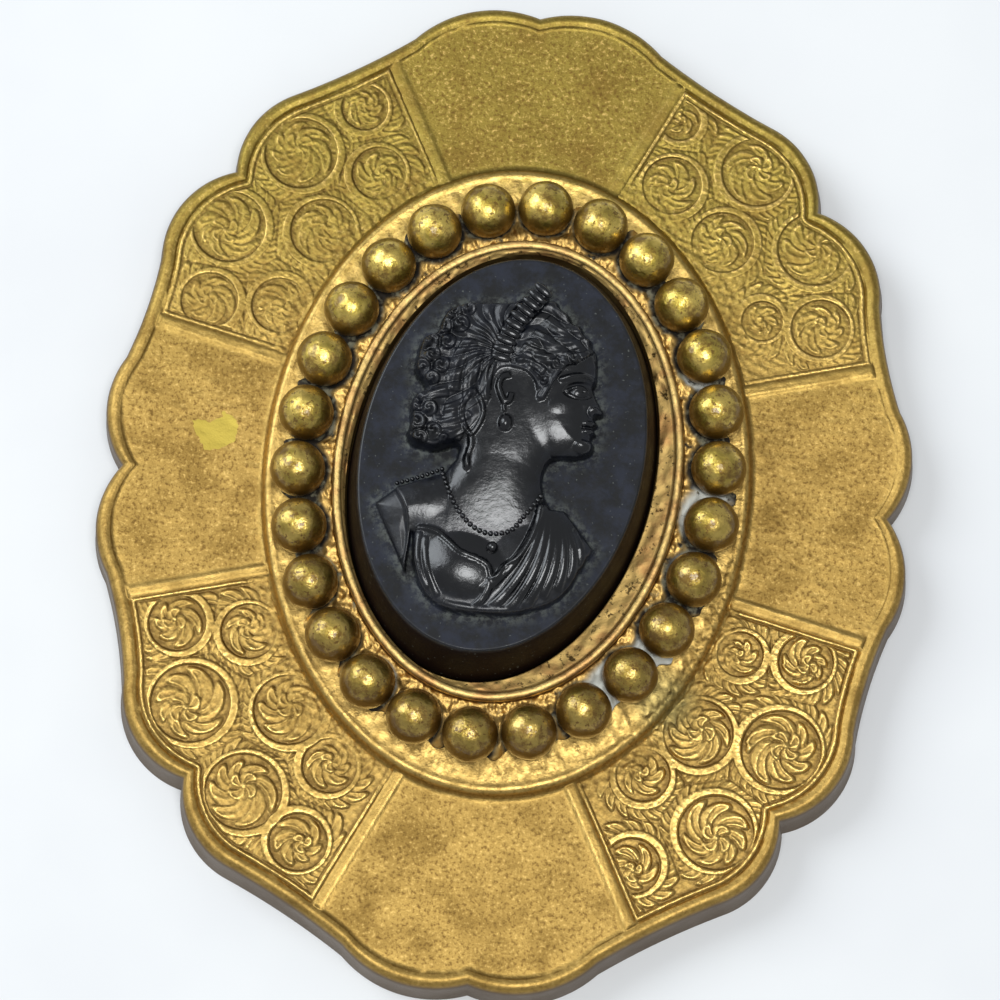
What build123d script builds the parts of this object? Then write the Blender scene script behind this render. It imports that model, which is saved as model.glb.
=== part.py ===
"""Oval cameo brooch: a lobed stamped brass plate, a beaded oval setting and a black bust cameo.

The brooch lies on its back rim. +Z is the worn front, +Y the top of the brooch and +X the way
the bust looks. The origin is the middle of the back rim. All lengths are millimetres.
"""

from build123d import *
from collections import namedtuple
import math
import os

# Front plate, a hollow stamped shell
plate_width = 44.0
plate_length = 57.2
wall_height = 2.8
sheet = 0.5
edge_round = 0.45
rim_flare = 0.3
field_margin = 0.85
field_depth = 0.15
rib_width = 0.55
rib_overrun = 1.6
scroll_panel_count = 4

# Stamped scrollwork
border_gap = 0.2
border_width = 0.28
scroll_height = 0.24
scroll_ridge = 0.3
scroll_leaves = 7
leaf_hub = 0.12
leaf_bend = 70
leaf_back = (0.62, 0.24)
leaf_belly = (0.47, 0.42)

# Raised oval collar round the setting
collar_width = 27.9
collar_length = 37.0
collar_height = 0.4
collar_bead_width = 0.7
collar_bead_height = 0.08
collar_slope = 0.12
collar_hollow_inset = 0.6
field_shift_x = 0.1
field_shift_y = 0.65

# Back
back_thickness = 0.5
back_recess = 1.55
back_clearance = 0.12
piece_gap = 0.05

# Pin
pin_diameter = 0.9
pin_length = 27.0
pin_line = 6.0
hinge_width = 3.4
hinge_length = 2.6
catch_width = 1.1
pin_foot_thickness = 0.25

# Cameo
cameo_width = 17.3
cameo_length = 25.3
cameo_height = 3.8
cameo_taper_width = 1.3
cameo_taper_length = 2.15
cameo_turn = -8.3
cameo_shift_x = -0.2
cameo_shift_y = 0.95

# Bust on the cameo
bust_height = 19.3
relief_height = 1.75
relief_step = 0.5

# Bezel cup
setting_turn = -3.8
setting_shift_x = 0.15
setting_shift_y = 0.8
cup_floor = 0.5
cup_height = 1.8
seat_height = 0.45
seat_gap = 0.1
lip_space_width = 0.85
lip_space_length = 0.5
lip_width = 0.45
lip_round = 0.18
cusp_width = 1.0
cusp_length = 0.9
cusp_thickness = 0.25

# Beads and the cement that holds them
bead_diameter = 3.2
bead_space = 0.12
bead_offset = 1.98
cement_height = 0.75
cement_margin = 1.15

# Quarter of the plate's outline, from the notch at the side to the notch at the top, as shares
# of half the plate's width and length. Each lobe and each hollow between lobes is one arc
# through three rows. The last column is the share of rim_flare that the back rim stands out by.
OutlineRow = namedtuple("OutlineRow", "along_x along_y flare")
QUARTER_OUTLINE = [OutlineRow(*row) for row in (
    (1.000, 0.000, 0.40),
    (1.053, 0.101, 0.50),
    (1.015, 0.224, 0.60),
    (0.971, 0.334, 0.70),
    (0.946, 0.442, 0.80),
    (0.901, 0.559, 0.95),
    (0.770, 0.629, 1.00),
    (0.740, 0.727, 1.00),
    (0.637, 0.800, 0.95),
    (0.495, 0.857, 0.85),
    (0.327, 0.939, 0.75),
    (0.173, 1.007, 0.65),
    (0.000, 1.000, 0.60),
)]

# The two ribs of one quarter, which part a scrollwork panel from its plain neighbours, as shares
# of half the plate's width and length, measured from the middle of the collar.
Rib = namedtuple("Rib", "inner_x inner_y outer_x outer_y")
QUARTER_RIBS = [Rib(*row) for row in (
    (0.580, 0.213, 0.990, 0.291),
    (0.225, 0.620, 0.410, 0.900),
)]

# Scroll rounds of one quarter: middle and radius as shares of half the plate's width and length,
# and the way that their leaves curl.
ScrollRound = namedtuple("ScrollRound", "along_x along_y radius curl")
QUARTER_SCROLLS = [ScrollRound(*row) for row in (
    (0.803, 0.336, 0.086, 1),
    (0.640, 0.338, 0.072, -1),
    (0.763, 0.503, 0.108, -1),
    (0.524, 0.496, 0.102, 1),
    (0.601, 0.668, 0.104, 1),
    (0.393, 0.605, 0.074, -1),
    (0.425, 0.755, 0.070, -1),
)]

# Outline of the bust in runs of points (along_x, along_y), as shares of its height, measured
# from the middle of the cameo.
FRONT_HAIR = (
    (0.105, 0.469), (0.142, 0.447), (0.174, 0.412), (0.215, 0.382), (0.240, 0.345), (0.250, 0.318),
)
FOREHEAD = ((0.250, 0.318), (0.262, 0.270), (0.262, 0.226), (0.252, 0.206))
NOSE = ((0.252, 0.206), (0.272, 0.170), (0.297, 0.130), (0.286, 0.116), (0.262, 0.112))
LIPS = ((0.262, 0.112), (0.273, 0.096), (0.264, 0.083), (0.270, 0.067), (0.255, 0.053))
CHIN = ((0.255, 0.053), (0.266, 0.028), (0.252, 0.002), (0.215, -0.012), (0.150, -0.020))
NECK_FRONT = ((0.150, -0.020), (0.126, -0.060), (0.128, -0.110), (0.152, -0.162))
RIGHT_SHOULDER = ((0.152, -0.162), (0.195, -0.164), (0.288, -0.277), (0.282, -0.290))
LOWER_EDGE = (
    (0.282, -0.290), (0.205, -0.425), (0.092, -0.480), (-0.024, -0.494), (-0.141, -0.482),
    (-0.209, -0.427), (-0.238, -0.350),
)
LEFT_ARM = (
    (-0.238, -0.350), (-0.245, -0.265), (-0.256, -0.385), (-0.363, -0.177), (-0.300, -0.124),
    (-0.164, -0.072),
)
NECK_BACK = ((-0.164, -0.072), (-0.134, -0.030), (-0.134, 0.006))
BACK_HAIR = (
    (-0.134, 0.006), (-0.200, -0.014), (-0.266, -0.001), (-0.285, 0.028), (-0.277, 0.065), (-0.281, 0.100),
    (-0.272, 0.148), (-0.243, 0.174), (-0.268, 0.209), (-0.276, 0.248), (-0.266, 0.310), (-0.240, 0.335),
    (-0.214, 0.353), (-0.207, 0.391), (-0.166, 0.431), (-0.123, 0.446),
)
CROWN = ((-0.123, 0.446), (-0.064, 0.450), (0.000, 0.455))
DIADEM_EDGE = ((0.000, 0.455), (0.070, 0.500), (0.096, 0.507), (0.105, 0.469))
BUST_CURVES = (FRONT_HAIR, FOREHEAD, NOSE, LIPS, CHIN, NECK_FRONT, LOWER_EDGE, NECK_BACK, BACK_HAIR)
BUST_LINES = (RIGHT_SHOULDER, LEFT_ARM, CROWN, DIADEM_EDGE)

# Rounded masses of the bust and, over them, its curls and waves of hair: middle and reach as
# shares of its height, rise as a share of relief_height.
Mass = namedtuple("Mass", "along_x along_y reach rise")
BUST_MASSES = {
    "skull": Mass(0.040, 0.270, 0.225, 0.98),
    "cheek": Mass(0.140, 0.110, 0.165, 0.92),
    "jaw": Mass(0.170, 0.045, 0.110, 0.72),
    "neck": Mass(0.010, -0.050, 0.150, 0.78),
    "chignon": Mass(-0.180, 0.235, 0.125, 0.90),
    "low bun": Mass(-0.205, 0.055, 0.095, 0.86),
    "nape": Mass(-0.120, 0.110, 0.110, 0.80),
    "left shoulder": Mass(-0.235, -0.205, 0.140, 0.62),
    "chest": Mass(-0.020, -0.240, 0.230, 0.68),
    "left breast": Mass(-0.085, -0.385, 0.125, 0.92),
    "right breast": Mass(0.120, -0.350, 0.150, 0.82),
}
LOCKS = [Mass(*row) for row in (
    (-0.190, 0.395, 0.036, 0.70),
    (-0.225, 0.330, 0.036, 0.72),
    (-0.250, 0.270, 0.036, 0.72),
    (-0.245, 0.215, 0.032, 0.70),
    (-0.250, 0.120, 0.036, 0.72),
    (-0.262, 0.045, 0.034, 0.72),
    (-0.205, 0.015, 0.034, 0.74),
    (0.215, 0.350, 0.034, 0.66),
    (0.180, 0.385, 0.034, 0.72),
    (0.130, 0.420, 0.034, 0.76),
    (0.200, 0.280, 0.034, 0.90),
    (0.150, 0.250, 0.034, 1.02),
    (0.095, 0.235, 0.034, 1.08),
    (0.060, 0.190, 0.034, 1.08),
)]

# Ribbed band of the diadem, bent from over the ear to its tip: points and breadth as shares of
# the bust's height, rise as a share of relief_height.
diadem_foot = (-0.020, 0.262)
diadem_bend = (0.014, 0.380)
diadem_tip = (0.090, 0.492)
diadem_breadth = 0.046
diadem_rise = 0.98
diadem_ribs = 10
diadem_rib_width = 0.4
diadem_rib_rise = 0.08

# Heights worked out from the sizes above
platform_top = wall_height + collar_height
cup_base = platform_top + piece_gap / 2
cameo_base = cup_base + cup_floor + piece_gap
cameo_face = cameo_base + cameo_height
cement_top = cup_base + cement_height

# Ovals worked out from the sizes above
seat_x = cameo_width / 2 + seat_gap
seat_y = cameo_length / 2 + seat_gap
mouth_x = cameo_width / 2 + lip_space_width
mouth_y = cameo_length / 2 + lip_space_length
cup_x = mouth_x + lip_width
cup_y = mouth_y + lip_width
ring_x = cup_x + bead_offset
ring_y = cup_y + bead_offset


def turned_plane(shift_x, shift_y, turn, height):
    """Plane at a height, moved in X and Y and turned about Z by degrees."""
    angle = math.radians(turn)
    x_dir = (math.cos(angle), math.sin(angle), 0)
    return Plane(origin=(shift_x, shift_y, height), x_dir=x_dir, z_dir=(0, 0, 1))


def setting_plane(height):
    """Plane of the bezel cup and the beads."""
    return turned_plane(setting_shift_x, setting_shift_y, setting_turn, height)


def cameo_plane(height):
    """Plane of the cameo, which sits a little turned in its cup."""
    return turned_plane(cameo_shift_x, cameo_shift_y, cameo_turn, height)


def bust_plane(height):
    """Plane of the bust, which stands upright on the brooch."""
    return turned_plane(cameo_shift_x, cameo_shift_y, 0, height)


def outline_point(row, side_x, side_y, inset, flare):
    """One outline row in one quarter, drawn in by inset and pushed out by flare."""
    share_x, share_y, flare_share = row
    x = side_x * share_x * (plate_width / 2 - inset)
    y = side_y * share_y * (plate_length / 2 - inset)
    stretch = 1 + flare * flare_share / math.hypot(x, y)
    return (x * stretch, y * stretch)


def lobed_face(inset=0.0, flare=0.0, mode=Mode.ADD):
    """Face of the plate's lobed outline in the sketch at hand."""
    forward = QUARTER_OUTLINE[:-1]
    backward = QUARTER_OUTLINE[:0:-1]
    quarters = ((forward, 1, 1), (backward, -1, 1), (forward, -1, -1), (backward, 1, -1))
    points = [
        outline_point(row, side_x, side_y, inset, flare)
        for rows, side_x, side_y in quarters
        for row in rows
    ]
    points.append(points[0])
    with BuildLine() as outline:
        for index in range(0, len(points) - 1, 2):
            ThreePointArc(points[index], points[index + 1], points[index + 2])
    make_face(outline.edges(), mode=mode)


def panel_fields(margin):
    """The eight panels between the collar and the rim, each drawn in by margin."""
    with BuildSketch() as fields:
        lobed_face(field_margin + margin)
        with Locations((field_shift_x, field_shift_y)):
            Ellipse(collar_width / 2 + margin, collar_length / 2 + margin, mode=Mode.SUBTRACT)
        for inner_x, inner_y, outer_x, outer_y in QUARTER_RIBS:
            for side_x in (-1, 1):
                for side_y in (-1, 1):
                    start = Vector(side_x * inner_x * plate_width / 2, side_y * inner_y * plate_length / 2)
                    end = Vector(side_x * outer_x * plate_width / 2, side_y * outer_y * plate_length / 2)
                    run = end - start
                    middle = (start + end) / 2 + Vector(field_shift_x, field_shift_y)
                    angle = math.degrees(math.atan2(run.Y, run.X))
                    with Locations(Location((middle.X, middle.Y, 0), (0, 0, angle))):
                        Rectangle(run.length * rib_overrun, rib_width + 2 * margin, mode=Mode.SUBTRACT)
    return fields.sketch.faces().sort_by(lambda face: abs(face.center().X * face.center().Y))


def scroll_leaf(radius, curl):
    """One curled leaf between the hub and the ring of a scroll round."""
    hub = leaf_hub * radius
    reach = radius - scroll_ridge / 2
    bend = math.radians(leaf_bend)
    tip = (reach * math.cos(bend), curl * reach * math.sin(bend))
    back, belly = [(reach * x, curl * reach * y) for x, y in (leaf_back, leaf_belly)]
    with BuildSketch(mode=Mode.PRIVATE) as leaf:
        with BuildLine() as edge:
            ThreePointArc((hub, 0), back, tip)
            ThreePointArc(tip, belly, (hub, 0))
        make_face(edge.edges())
    return leaf.sketch


def on_bust(point):
    """Place on the cameo's face of a point given as shares of the bust's height."""
    return (point[0] * bust_height, point[1] * bust_height)


def mass_on_face(mass):
    """Ball that shows above the cameo's face as a dome of the mass's reach and rise."""
    cap = mass.reach * bust_height
    height = mass.rise * relief_height
    radius = (cap**2 + height**2) / (2 * height)
    with Locations((*on_bust(mass), height - radius)):
        Sphere(radius)


def diadem_band():
    """Raised band of the diadem with a row of ribs across it."""
    breadth = diadem_breadth * bust_height
    rise = diadem_rise * relief_height
    with BuildSketch() as band:
        with BuildLine() as line:
            ThreePointArc(on_bust(diadem_foot), on_bust(diadem_bend), on_bust(diadem_tip))
        trace(line_width=breadth)
    extrude(band.sketch, amount=rise)
    for index in range(diadem_ribs):
        station = (index + 0.5) / diadem_ribs
        place = line.wires()[0].position_at(station)
        along = line.wires()[0].tangent_at(station)
        angle = math.degrees(math.atan2(along.Y, along.X))
        with Locations(Location((place.X, place.Y, rise), (0, 0, angle))):
            Box(diadem_rib_width, breadth, 2 * diadem_rib_rise)


def bust_outline():
    """Face of the bust's outline in the sketch at hand."""
    with BuildLine() as outline:
        for run in BUST_CURVES:
            Spline(*[on_bust(point) for point in run])
        for run in BUST_LINES:
            Polyline(*[on_bust(point) for point in run])
    make_face(outline.edges())


def save(piece, name):
    """Label a finished piece and write its STEP file."""
    piece.part.label = name
    export_step(piece.part, f"parts/{name}.step")


os.makedirs("parts", exist_ok=True)

# Scrollwork of one quarter, drawn round the middle of the collar and mirrored to the others
with BuildSketch() as scrollwork:
    for place in QUARTER_SCROLLS:
        with Locations((place.along_x * plate_width / 2, place.along_y * plate_length / 2)):
            Circle(place.radius * plate_width / 2 + scroll_ridge / 2)
    for place in QUARTER_SCROLLS:
        with Locations((place.along_x * plate_width / 2, place.along_y * plate_length / 2)):
            Circle(place.radius * plate_width / 2 - scroll_ridge / 2, mode=Mode.SUBTRACT)
    for place in QUARTER_SCROLLS:
        leaf = scroll_leaf(place.radius * plate_width / 2, place.curl)
        with Locations((place.along_x * plate_width / 2, place.along_y * plate_length / 2)):
            with PolarLocations(0, scroll_leaves):
                add(leaf)
    mirror(about=Plane.YZ)
    mirror(about=Plane.XZ)

# Front plate: lobed shell, open at the back, with eight sunk panels round a raised collar
edge_chord = edge_round * (1 - math.cos(math.radians(45)))
with BuildPart() as front_plate:
    outer_sections = (
        (0.0, 0.0, rim_flare),
        (wall_height - edge_round, 0.0, 0.0),
        (wall_height - edge_chord, edge_chord, 0.0),
        (wall_height, edge_round, 0.0),
    )
    for height, inset, flare in outer_sections:
        with BuildSketch(Plane.XY.offset(height)):
            lobed_face(inset, flare)
    loft(ruled=True)
    inner_sections = (
        (0.0, sheet, rim_flare),
        (wall_height - edge_round, sheet, 0.0),
        (wall_height - sheet, sheet + 2 * edge_chord, 0.0),
    )
    for height, inset, flare in inner_sections:
        with BuildSketch(Plane.XY.offset(height)):
            lobed_face(inset, flare)
    loft(ruled=True, mode=Mode.SUBTRACT)
    with BuildSketch(Plane.XY.offset(wall_height)):
        add(panel_fields(0))
    extrude(amount=-field_depth, mode=Mode.SUBTRACT)
    with BuildSketch(Plane.XY.offset(wall_height - field_depth - piece_gap)):
        add(panel_fields(border_gap)[-scroll_panel_count:])
        add(panel_fields(border_gap + border_width)[-scroll_panel_count:], mode=Mode.SUBTRACT)
    extrude(amount=scroll_height + piece_gap)
    with BuildSketch(Plane.XY.offset(wall_height - field_depth - piece_gap)):
        with Locations((field_shift_x, field_shift_y)):
            add(scrollwork.sketch)
        add(panel_fields(border_gap + border_width / 2)[-scroll_panel_count:], mode=Mode.INTERSECT)
    extrude(amount=scroll_height + piece_gap)
    collar_foot = wall_height - field_depth
    collar_crest = platform_top + collar_bead_height
    for height, inset in ((collar_foot, 0.0), (collar_crest, collar_slope)):
        with BuildSketch(Plane.XY.offset(height)):
            with Locations((field_shift_x, field_shift_y)):
                Ellipse(collar_width / 2 - inset, collar_length / 2 - inset)
    loft()
    crest_inset = collar_bead_width - collar_slope
    for height, inset in ((platform_top, collar_bead_width), (collar_crest, crest_inset)):
        with BuildSketch(Plane.XY.offset(height)):
            with Locations((field_shift_x, field_shift_y)):
                Ellipse(collar_width / 2 - inset, collar_length / 2 - inset)
    loft(mode=Mode.SUBTRACT)
    with BuildSketch(Plane.XY.offset(wall_height - sheet - piece_gap)):
        with Locations((field_shift_x, field_shift_y)):
            Ellipse(collar_width / 2 - collar_hollow_inset, collar_length / 2 - collar_hollow_inset)
    extrude(amount=collar_height + piece_gap, mode=Mode.SUBTRACT)
save(front_plate, "front_plate")

# Back plate: flat sheet let into the shell, so that the pin lies inside the rim
with BuildPart() as back_plate:
    with BuildSketch(Plane.XY.offset(back_recess)):
        lobed_face(sheet + back_clearance)
    extrude(amount=back_thickness)
save(back_plate, "back_plate")

# Pin: hinge block, stem and hooked catch as one plain piece under the back plate
pin_top = back_recess - piece_gap / 2
pin_axis = pin_top / 2
knuckle_radius = pin_axis - 2 * piece_gap
with BuildPart() as pin_bar:
    with BuildSketch(Plane.YZ.offset(-pin_length / 2)):
        with Locations((pin_line, pin_axis)):
            Circle(pin_diameter / 2)
    extrude(amount=pin_length)
    with BuildSketch(Plane.XY.offset(pin_top)):
        with Locations((-pin_length / 2, pin_line)):
            SlotOverall(hinge_width + hinge_length, hinge_width)
        with Locations((pin_length / 2, pin_line)):
            SlotOverall(hinge_width + hinge_length, hinge_width, rotation=90)
    extrude(amount=-pin_foot_thickness)
    with BuildSketch(Plane.XZ.offset(-pin_line - hinge_width / 2)):
        with Locations((-pin_length / 2, pin_axis)):
            Circle(knuckle_radius)
        with Locations((-pin_length / 2, (pin_axis + pin_top) / 2)):
            Rectangle(2 * knuckle_radius, pin_top - pin_axis)
    extrude(amount=hinge_width)
    with BuildSketch(Plane.YZ.offset(pin_length / 2 - catch_width / 2)):
        with Locations((pin_line, pin_axis)):
            Circle(knuckle_radius)
        with Locations((pin_line, (pin_axis + pin_top) / 2)):
            Rectangle(2 * knuckle_radius, pin_top - pin_axis)
    extrude(amount=catch_width)
save(pin_bar, "pin_bar")

# Bezel cup: oval cup with a sloping seat and a rounded lip, and small cusps between the beads
bead_path = Edge.make_ellipse(ring_x, ring_y, setting_plane(cup_base + bead_diameter / 2))
bead_count = int(bead_path.length / (bead_diameter + bead_space))
with BuildPart() as bezel_cup:
    with BuildSketch(setting_plane(cup_base)):
        Ellipse(cup_x, cup_y)
    extrude(amount=cup_height)
    with BuildSketch(cameo_plane(cup_base + cup_floor)):
        Ellipse(seat_x, seat_y)
    extrude(amount=seat_height, mode=Mode.SUBTRACT)
    with BuildSketch(cameo_plane(cup_base + cup_floor + seat_height - piece_gap / 10)):
        Ellipse(seat_x, seat_y)
    with BuildSketch(setting_plane(cup_base + cup_height)):
        Ellipse(mouth_x, mouth_y)
    loft(mode=Mode.SUBTRACT)
    fillet(bezel_cup.edges().group_by(Axis.Z)[-1], lip_round)
    cup_edge = Edge.make_ellipse(cup_x, cup_y, setting_plane(cement_top + piece_gap))
    for index in range(bead_count):
        station = (index + 0.5) / bead_count
        middle = cup_edge.position_at(station)
        outward = cup_edge.tangent_at(station).cross(Vector(0, 0, 1))
        with BuildSketch(Plane(origin=middle, x_dir=outward, z_dir=(0, 0, 1))):
            with BuildLine():
                Polyline(
                    (-lip_width / 2, -cusp_width / 2),
                    (cusp_length, 0),
                    (-lip_width / 2, cusp_width / 2),
                    close=True,
                )
            make_face()
        extrude(amount=cusp_thickness)
save(bezel_cup, "bezel_cup")

# Beads: a ring of plain balls, the first at the top of the setting and the rest clockwise. The
# path runs the other way from its top, as any upright oval's does.
bead_places = [bead_path.position_at(1 - index / bead_count) for index in range(bead_count)]
for index, place in enumerate(bead_places, start=1):
    with BuildPart() as bead:
        with Locations(place):
            Sphere(bead_diameter / 2)
    save(bead, f"bead_{index:02d}")

# Cement: the filler that the beads are bedded in, with a round seat for each
with BuildPart() as cement_bed:
    with BuildSketch(setting_plane(cup_base)):
        Ellipse(ring_x + cement_margin, ring_y + cement_margin)
        Ellipse(cup_x + piece_gap, cup_y + piece_gap, mode=Mode.SUBTRACT)
    extrude(amount=cement_height)
    with Locations(*bead_places):
        Sphere(bead_diameter / 2 + piece_gap, mode=Mode.SUBTRACT)
save(cement_bed, "cement_bed")

# Bust masses with the diadem, cut to the bust's outline
with BuildPart() as bust_masses:
    for mass in (*BUST_MASSES.values(), *LOCKS):
        mass_on_face(mass)
    diadem_band()
    with BuildSketch(Plane.XY.offset(-piece_gap)):
        bust_outline()
    extrude(amount=relief_height * 2, mode=Mode.INTERSECT)

# Cameo: tapered oval with the bust raised on its face
with BuildPart() as cameo:
    with BuildSketch(cameo_plane(cameo_base)):
        Ellipse(cameo_width / 2, cameo_length / 2)
    with BuildSketch(cameo_plane(cameo_face)):
        Ellipse((cameo_width - cameo_taper_width) / 2, (cameo_length - cameo_taper_length) / 2)
    loft()
    with Locations(bust_plane(cameo_face).location):
        add(bust_masses.part)
    with BuildSketch(bust_plane(cameo_face - piece_gap)):
        bust_outline()
    extrude(amount=relief_step + piece_gap)
save(cameo, "cameo")
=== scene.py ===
"""Oval cameo brooch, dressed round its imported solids.

A stamped brass plate with chased scroll panels, a ring of brass beads in old filler, a worn gilt
bezel and a black glass cameo. Sizes are millimetres in the classes and metres in the meshes.
"""

import logging
import math
from dataclasses import dataclass, field
from enum import Enum
from typing import Any

import bpy
import numpy as np
from mathutils import Matrix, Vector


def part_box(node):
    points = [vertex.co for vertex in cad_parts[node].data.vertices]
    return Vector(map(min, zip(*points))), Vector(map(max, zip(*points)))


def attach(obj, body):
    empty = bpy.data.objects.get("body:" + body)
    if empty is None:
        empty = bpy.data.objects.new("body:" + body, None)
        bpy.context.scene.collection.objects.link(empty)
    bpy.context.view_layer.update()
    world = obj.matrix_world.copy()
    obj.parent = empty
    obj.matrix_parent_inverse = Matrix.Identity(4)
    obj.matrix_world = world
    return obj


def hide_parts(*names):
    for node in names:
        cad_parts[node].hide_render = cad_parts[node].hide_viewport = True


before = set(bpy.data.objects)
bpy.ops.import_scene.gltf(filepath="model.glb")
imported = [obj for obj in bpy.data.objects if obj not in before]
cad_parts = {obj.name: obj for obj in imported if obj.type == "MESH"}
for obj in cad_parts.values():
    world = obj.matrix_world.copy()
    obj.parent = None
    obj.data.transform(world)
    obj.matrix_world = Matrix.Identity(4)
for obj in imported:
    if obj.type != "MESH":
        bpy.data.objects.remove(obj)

Array = np.ndarray
Material = bpy.types.Material
Level = Array | float
Points = tuple[tuple[float, float], ...]
Tips = tuple[tuple[float, float, float], ...]
Node = bpy.types.Node
Piece = bpy.types.Object
Socket = bpy.types.NodeSocket
Tree = bpy.types.NodeTree
log = logging.getLogger("brooch")

MM = 0.001
TAU = 2 * math.pi
WAVES = 14
FAR = 99.0
ROOT = "root"


# Numbers and curves


def smooth(value: Array, low: float, high: float) -> Array:
    """Rise from 0 at low to 1 at high with soft ends.

    Args:
        value: Values to read.
        low: Value that gives 0.
        high: Value that gives 1.

    Returns:
        Shares from 0 to 1.
    """
    share = np.clip((value - low) / (high - low), 0, 1)
    return share * share * (3 - 2 * share)


def ridge(offset: Array, half: float) -> Array:
    """Rounded bar section that is 1 on the line and 0 at half its width away."""
    return np.sqrt(np.clip(1 - (offset / half) ** 2, 0, 1))


def dent(offset: Array, half: float) -> Array:
    """Soft bell that is 1 on the line and fades past half its width."""
    return np.exp(-((offset / half) ** 2))


def pillow(depth: Array, reach: float, rise: float) -> Array:
    """Height of a rounded edge.

    Args:
        depth: Distance in from the edge.
        reach: Distance at which the top is flat.
        rise: Height there.

    Returns:
        Heights, 0 outside the edge.
    """
    share = np.clip(depth / reach, 0, 1)
    return rise * np.sqrt(1 - (1 - share) ** 2)


def blend_max(first: Array, second: Array, softness: float) -> Array:
    """Greater of two heights with the crease between them rounded.

    Args:
        first: One height.
        second: The other height.
        softness: Height difference over which they run together.

    Returns:
        The joined heights.
    """
    share = np.clip(0.5 + 0.5 * (first - second) / softness, 0, 1)
    return second + (first - second) * share + softness * share * (1 - share)


def ripples(x: Array, y: Array, length: float, seed: int) -> Array:
    """Gentle uneven surface made of crossing waves.

    Args:
        x: Places along X.
        y: Places along Y.
        length: Typical distance from crest to crest.
        seed: Seed of the draw.

    Returns:
        Heights from about -1 to 1.
    """
    draw = np.random.default_rng(seed)
    angles = draw.uniform(0, TAU, WAVES)
    phases = draw.uniform(0, TAU, WAVES)
    stretches = draw.uniform(0.6, 1.6, WAVES)
    total = np.zeros_like(x)
    for angle, phase, stretch in zip(angles, phases, stretches):
        pace = TAU / (length * stretch)
        total += np.cos(pace * (x * math.cos(angle) + y * math.sin(angle)) + phase)
    return total / math.sqrt(2 * WAVES)


def arc_points(start: Array, middle: Array, end: Array, count: int) -> Array:
    """Points along the arc through three points.

    Args:
        start: First point.
        middle: Point between.
        end: Last point.
        count: Number of points.

    Returns:
        The points, with the end left out.
    """
    (ax, ay), (bx, by), (cx, cy) = start, middle, end
    twice = 2 * (ax * (by - cy) + bx * (cy - ay) + cx * (ay - by))
    a2, b2, c2 = ax * ax + ay * ay, bx * bx + by * by, cx * cx + cy * cy
    ux = (a2 * (by - cy) + b2 * (cy - ay) + c2 * (ay - by)) / twice
    uy = (a2 * (cx - bx) + b2 * (ax - cx) + c2 * (bx - ax)) / twice
    first, through, last = (math.atan2(p[1] - uy, p[0] - ux) for p in (start, middle, end))
    sweep = (last - first) % TAU
    if (through - first) % TAU > sweep:
        sweep -= TAU
    angles = first + sweep * np.arange(count) / count
    radius = math.hypot(ax - ux, ay - uy)
    return np.stack([ux + radius * np.cos(angles), uy + radius * np.sin(angles)], 1)


def curve_through(points: Array, steps: int = 8) -> Array:
    """Smooth line through points.

    Args:
        points: Points that it passes through.
        steps: Steps from one to the next.

    Returns:
        Points of the line.
    """
    padded = np.vstack([2 * points[0] - points[1], points, 2 * points[-1] - points[-2]])
    share = np.arange(steps)[:, None] / steps
    parts = []
    for a, b, c, d in zip(padded[:-3], padded[1:-2], padded[2:-1], padded[3:]):
        square, cube = 2 * a - 5 * b + 4 * c - d, 3 * b - a - 3 * c + d
        parts.append(0.5 * (2 * b + (c - a) * share + square * share**2 + cube * share**3))
    return np.vstack([*parts, points[-1:]])


def even_points(path: Array, count: int) -> Array:
    """Points at even steps along a path, both ends kept.

    Args:
        path: Points of the path.
        count: Number of points.

    Returns:
        The new points.
    """
    travelled = np.concatenate([[0], np.cumsum(np.hypot(*np.diff(path, axis=0).T))])
    wanted = np.linspace(0, travelled[-1], count)
    return np.stack([np.interp(wanted, travelled, path[:, axis]) for axis in range(path.shape[1])], 1)


def path_field(x: Array, y: Array, path: Array) -> tuple[Array, Array, Array]:
    """How each place lies to a path.

    Args:
        x: Places along X.
        y: Places along Y.
        path: Points of the path.

    Returns:
        Distance to the path, the side (1 on its left, -1 on its right) and the share of its
        length at the nearest point.
    """
    travelled = np.concatenate([[0], np.cumsum(np.hypot(*np.diff(path, axis=0).T))])
    nearest = np.full(x.shape, np.inf)
    side = np.ones(x.shape)
    share = np.zeros(x.shape)
    for (ax, ay), (bx, by), before, after in zip(path[:-1], path[1:], travelled[:-1], travelled[1:]):
        dx, dy = bx - ax, by - ay
        along = np.clip(((x - ax) * dx + (y - ay) * dy) / max(dx * dx + dy * dy, 1e-12), 0, 1)
        ex, ey = x - ax - along * dx, y - ay - along * dy
        distance = np.hypot(ex, ey)
        closer = distance < nearest
        nearest = np.where(closer, distance, nearest)
        side = np.where(closer, np.where(dx * ey - dy * ex >= 0, 1, -1), side)
        share = np.where(closer, (before + along * (after - before)) / travelled[-1], share)
    return nearest, side, share


def depth_inside(x: Array, y: Array, loop: Array) -> Array:
    """Distance in from a closed outline.

    Args:
        x: Places along X.
        y: Places along Y.
        loop: Points of the outline.

    Returns:
        Distances, negative outside the outline.
    """
    closed = np.vstack([loop, loop[:1]])
    distance = path_field(x, y, closed)[0]
    crossings = np.zeros(x.shape, int)
    for (ax, ay), (bx, by) in zip(closed[:-1], closed[1:]):
        if ay == by:
            continue
        spans = (ay > y) != (by > y)
        crossings += spans & (x < ax + (y - ay) * (bx - ax) / (by - ay))
    return np.where(crossings % 2 == 1, distance, -distance)


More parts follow.
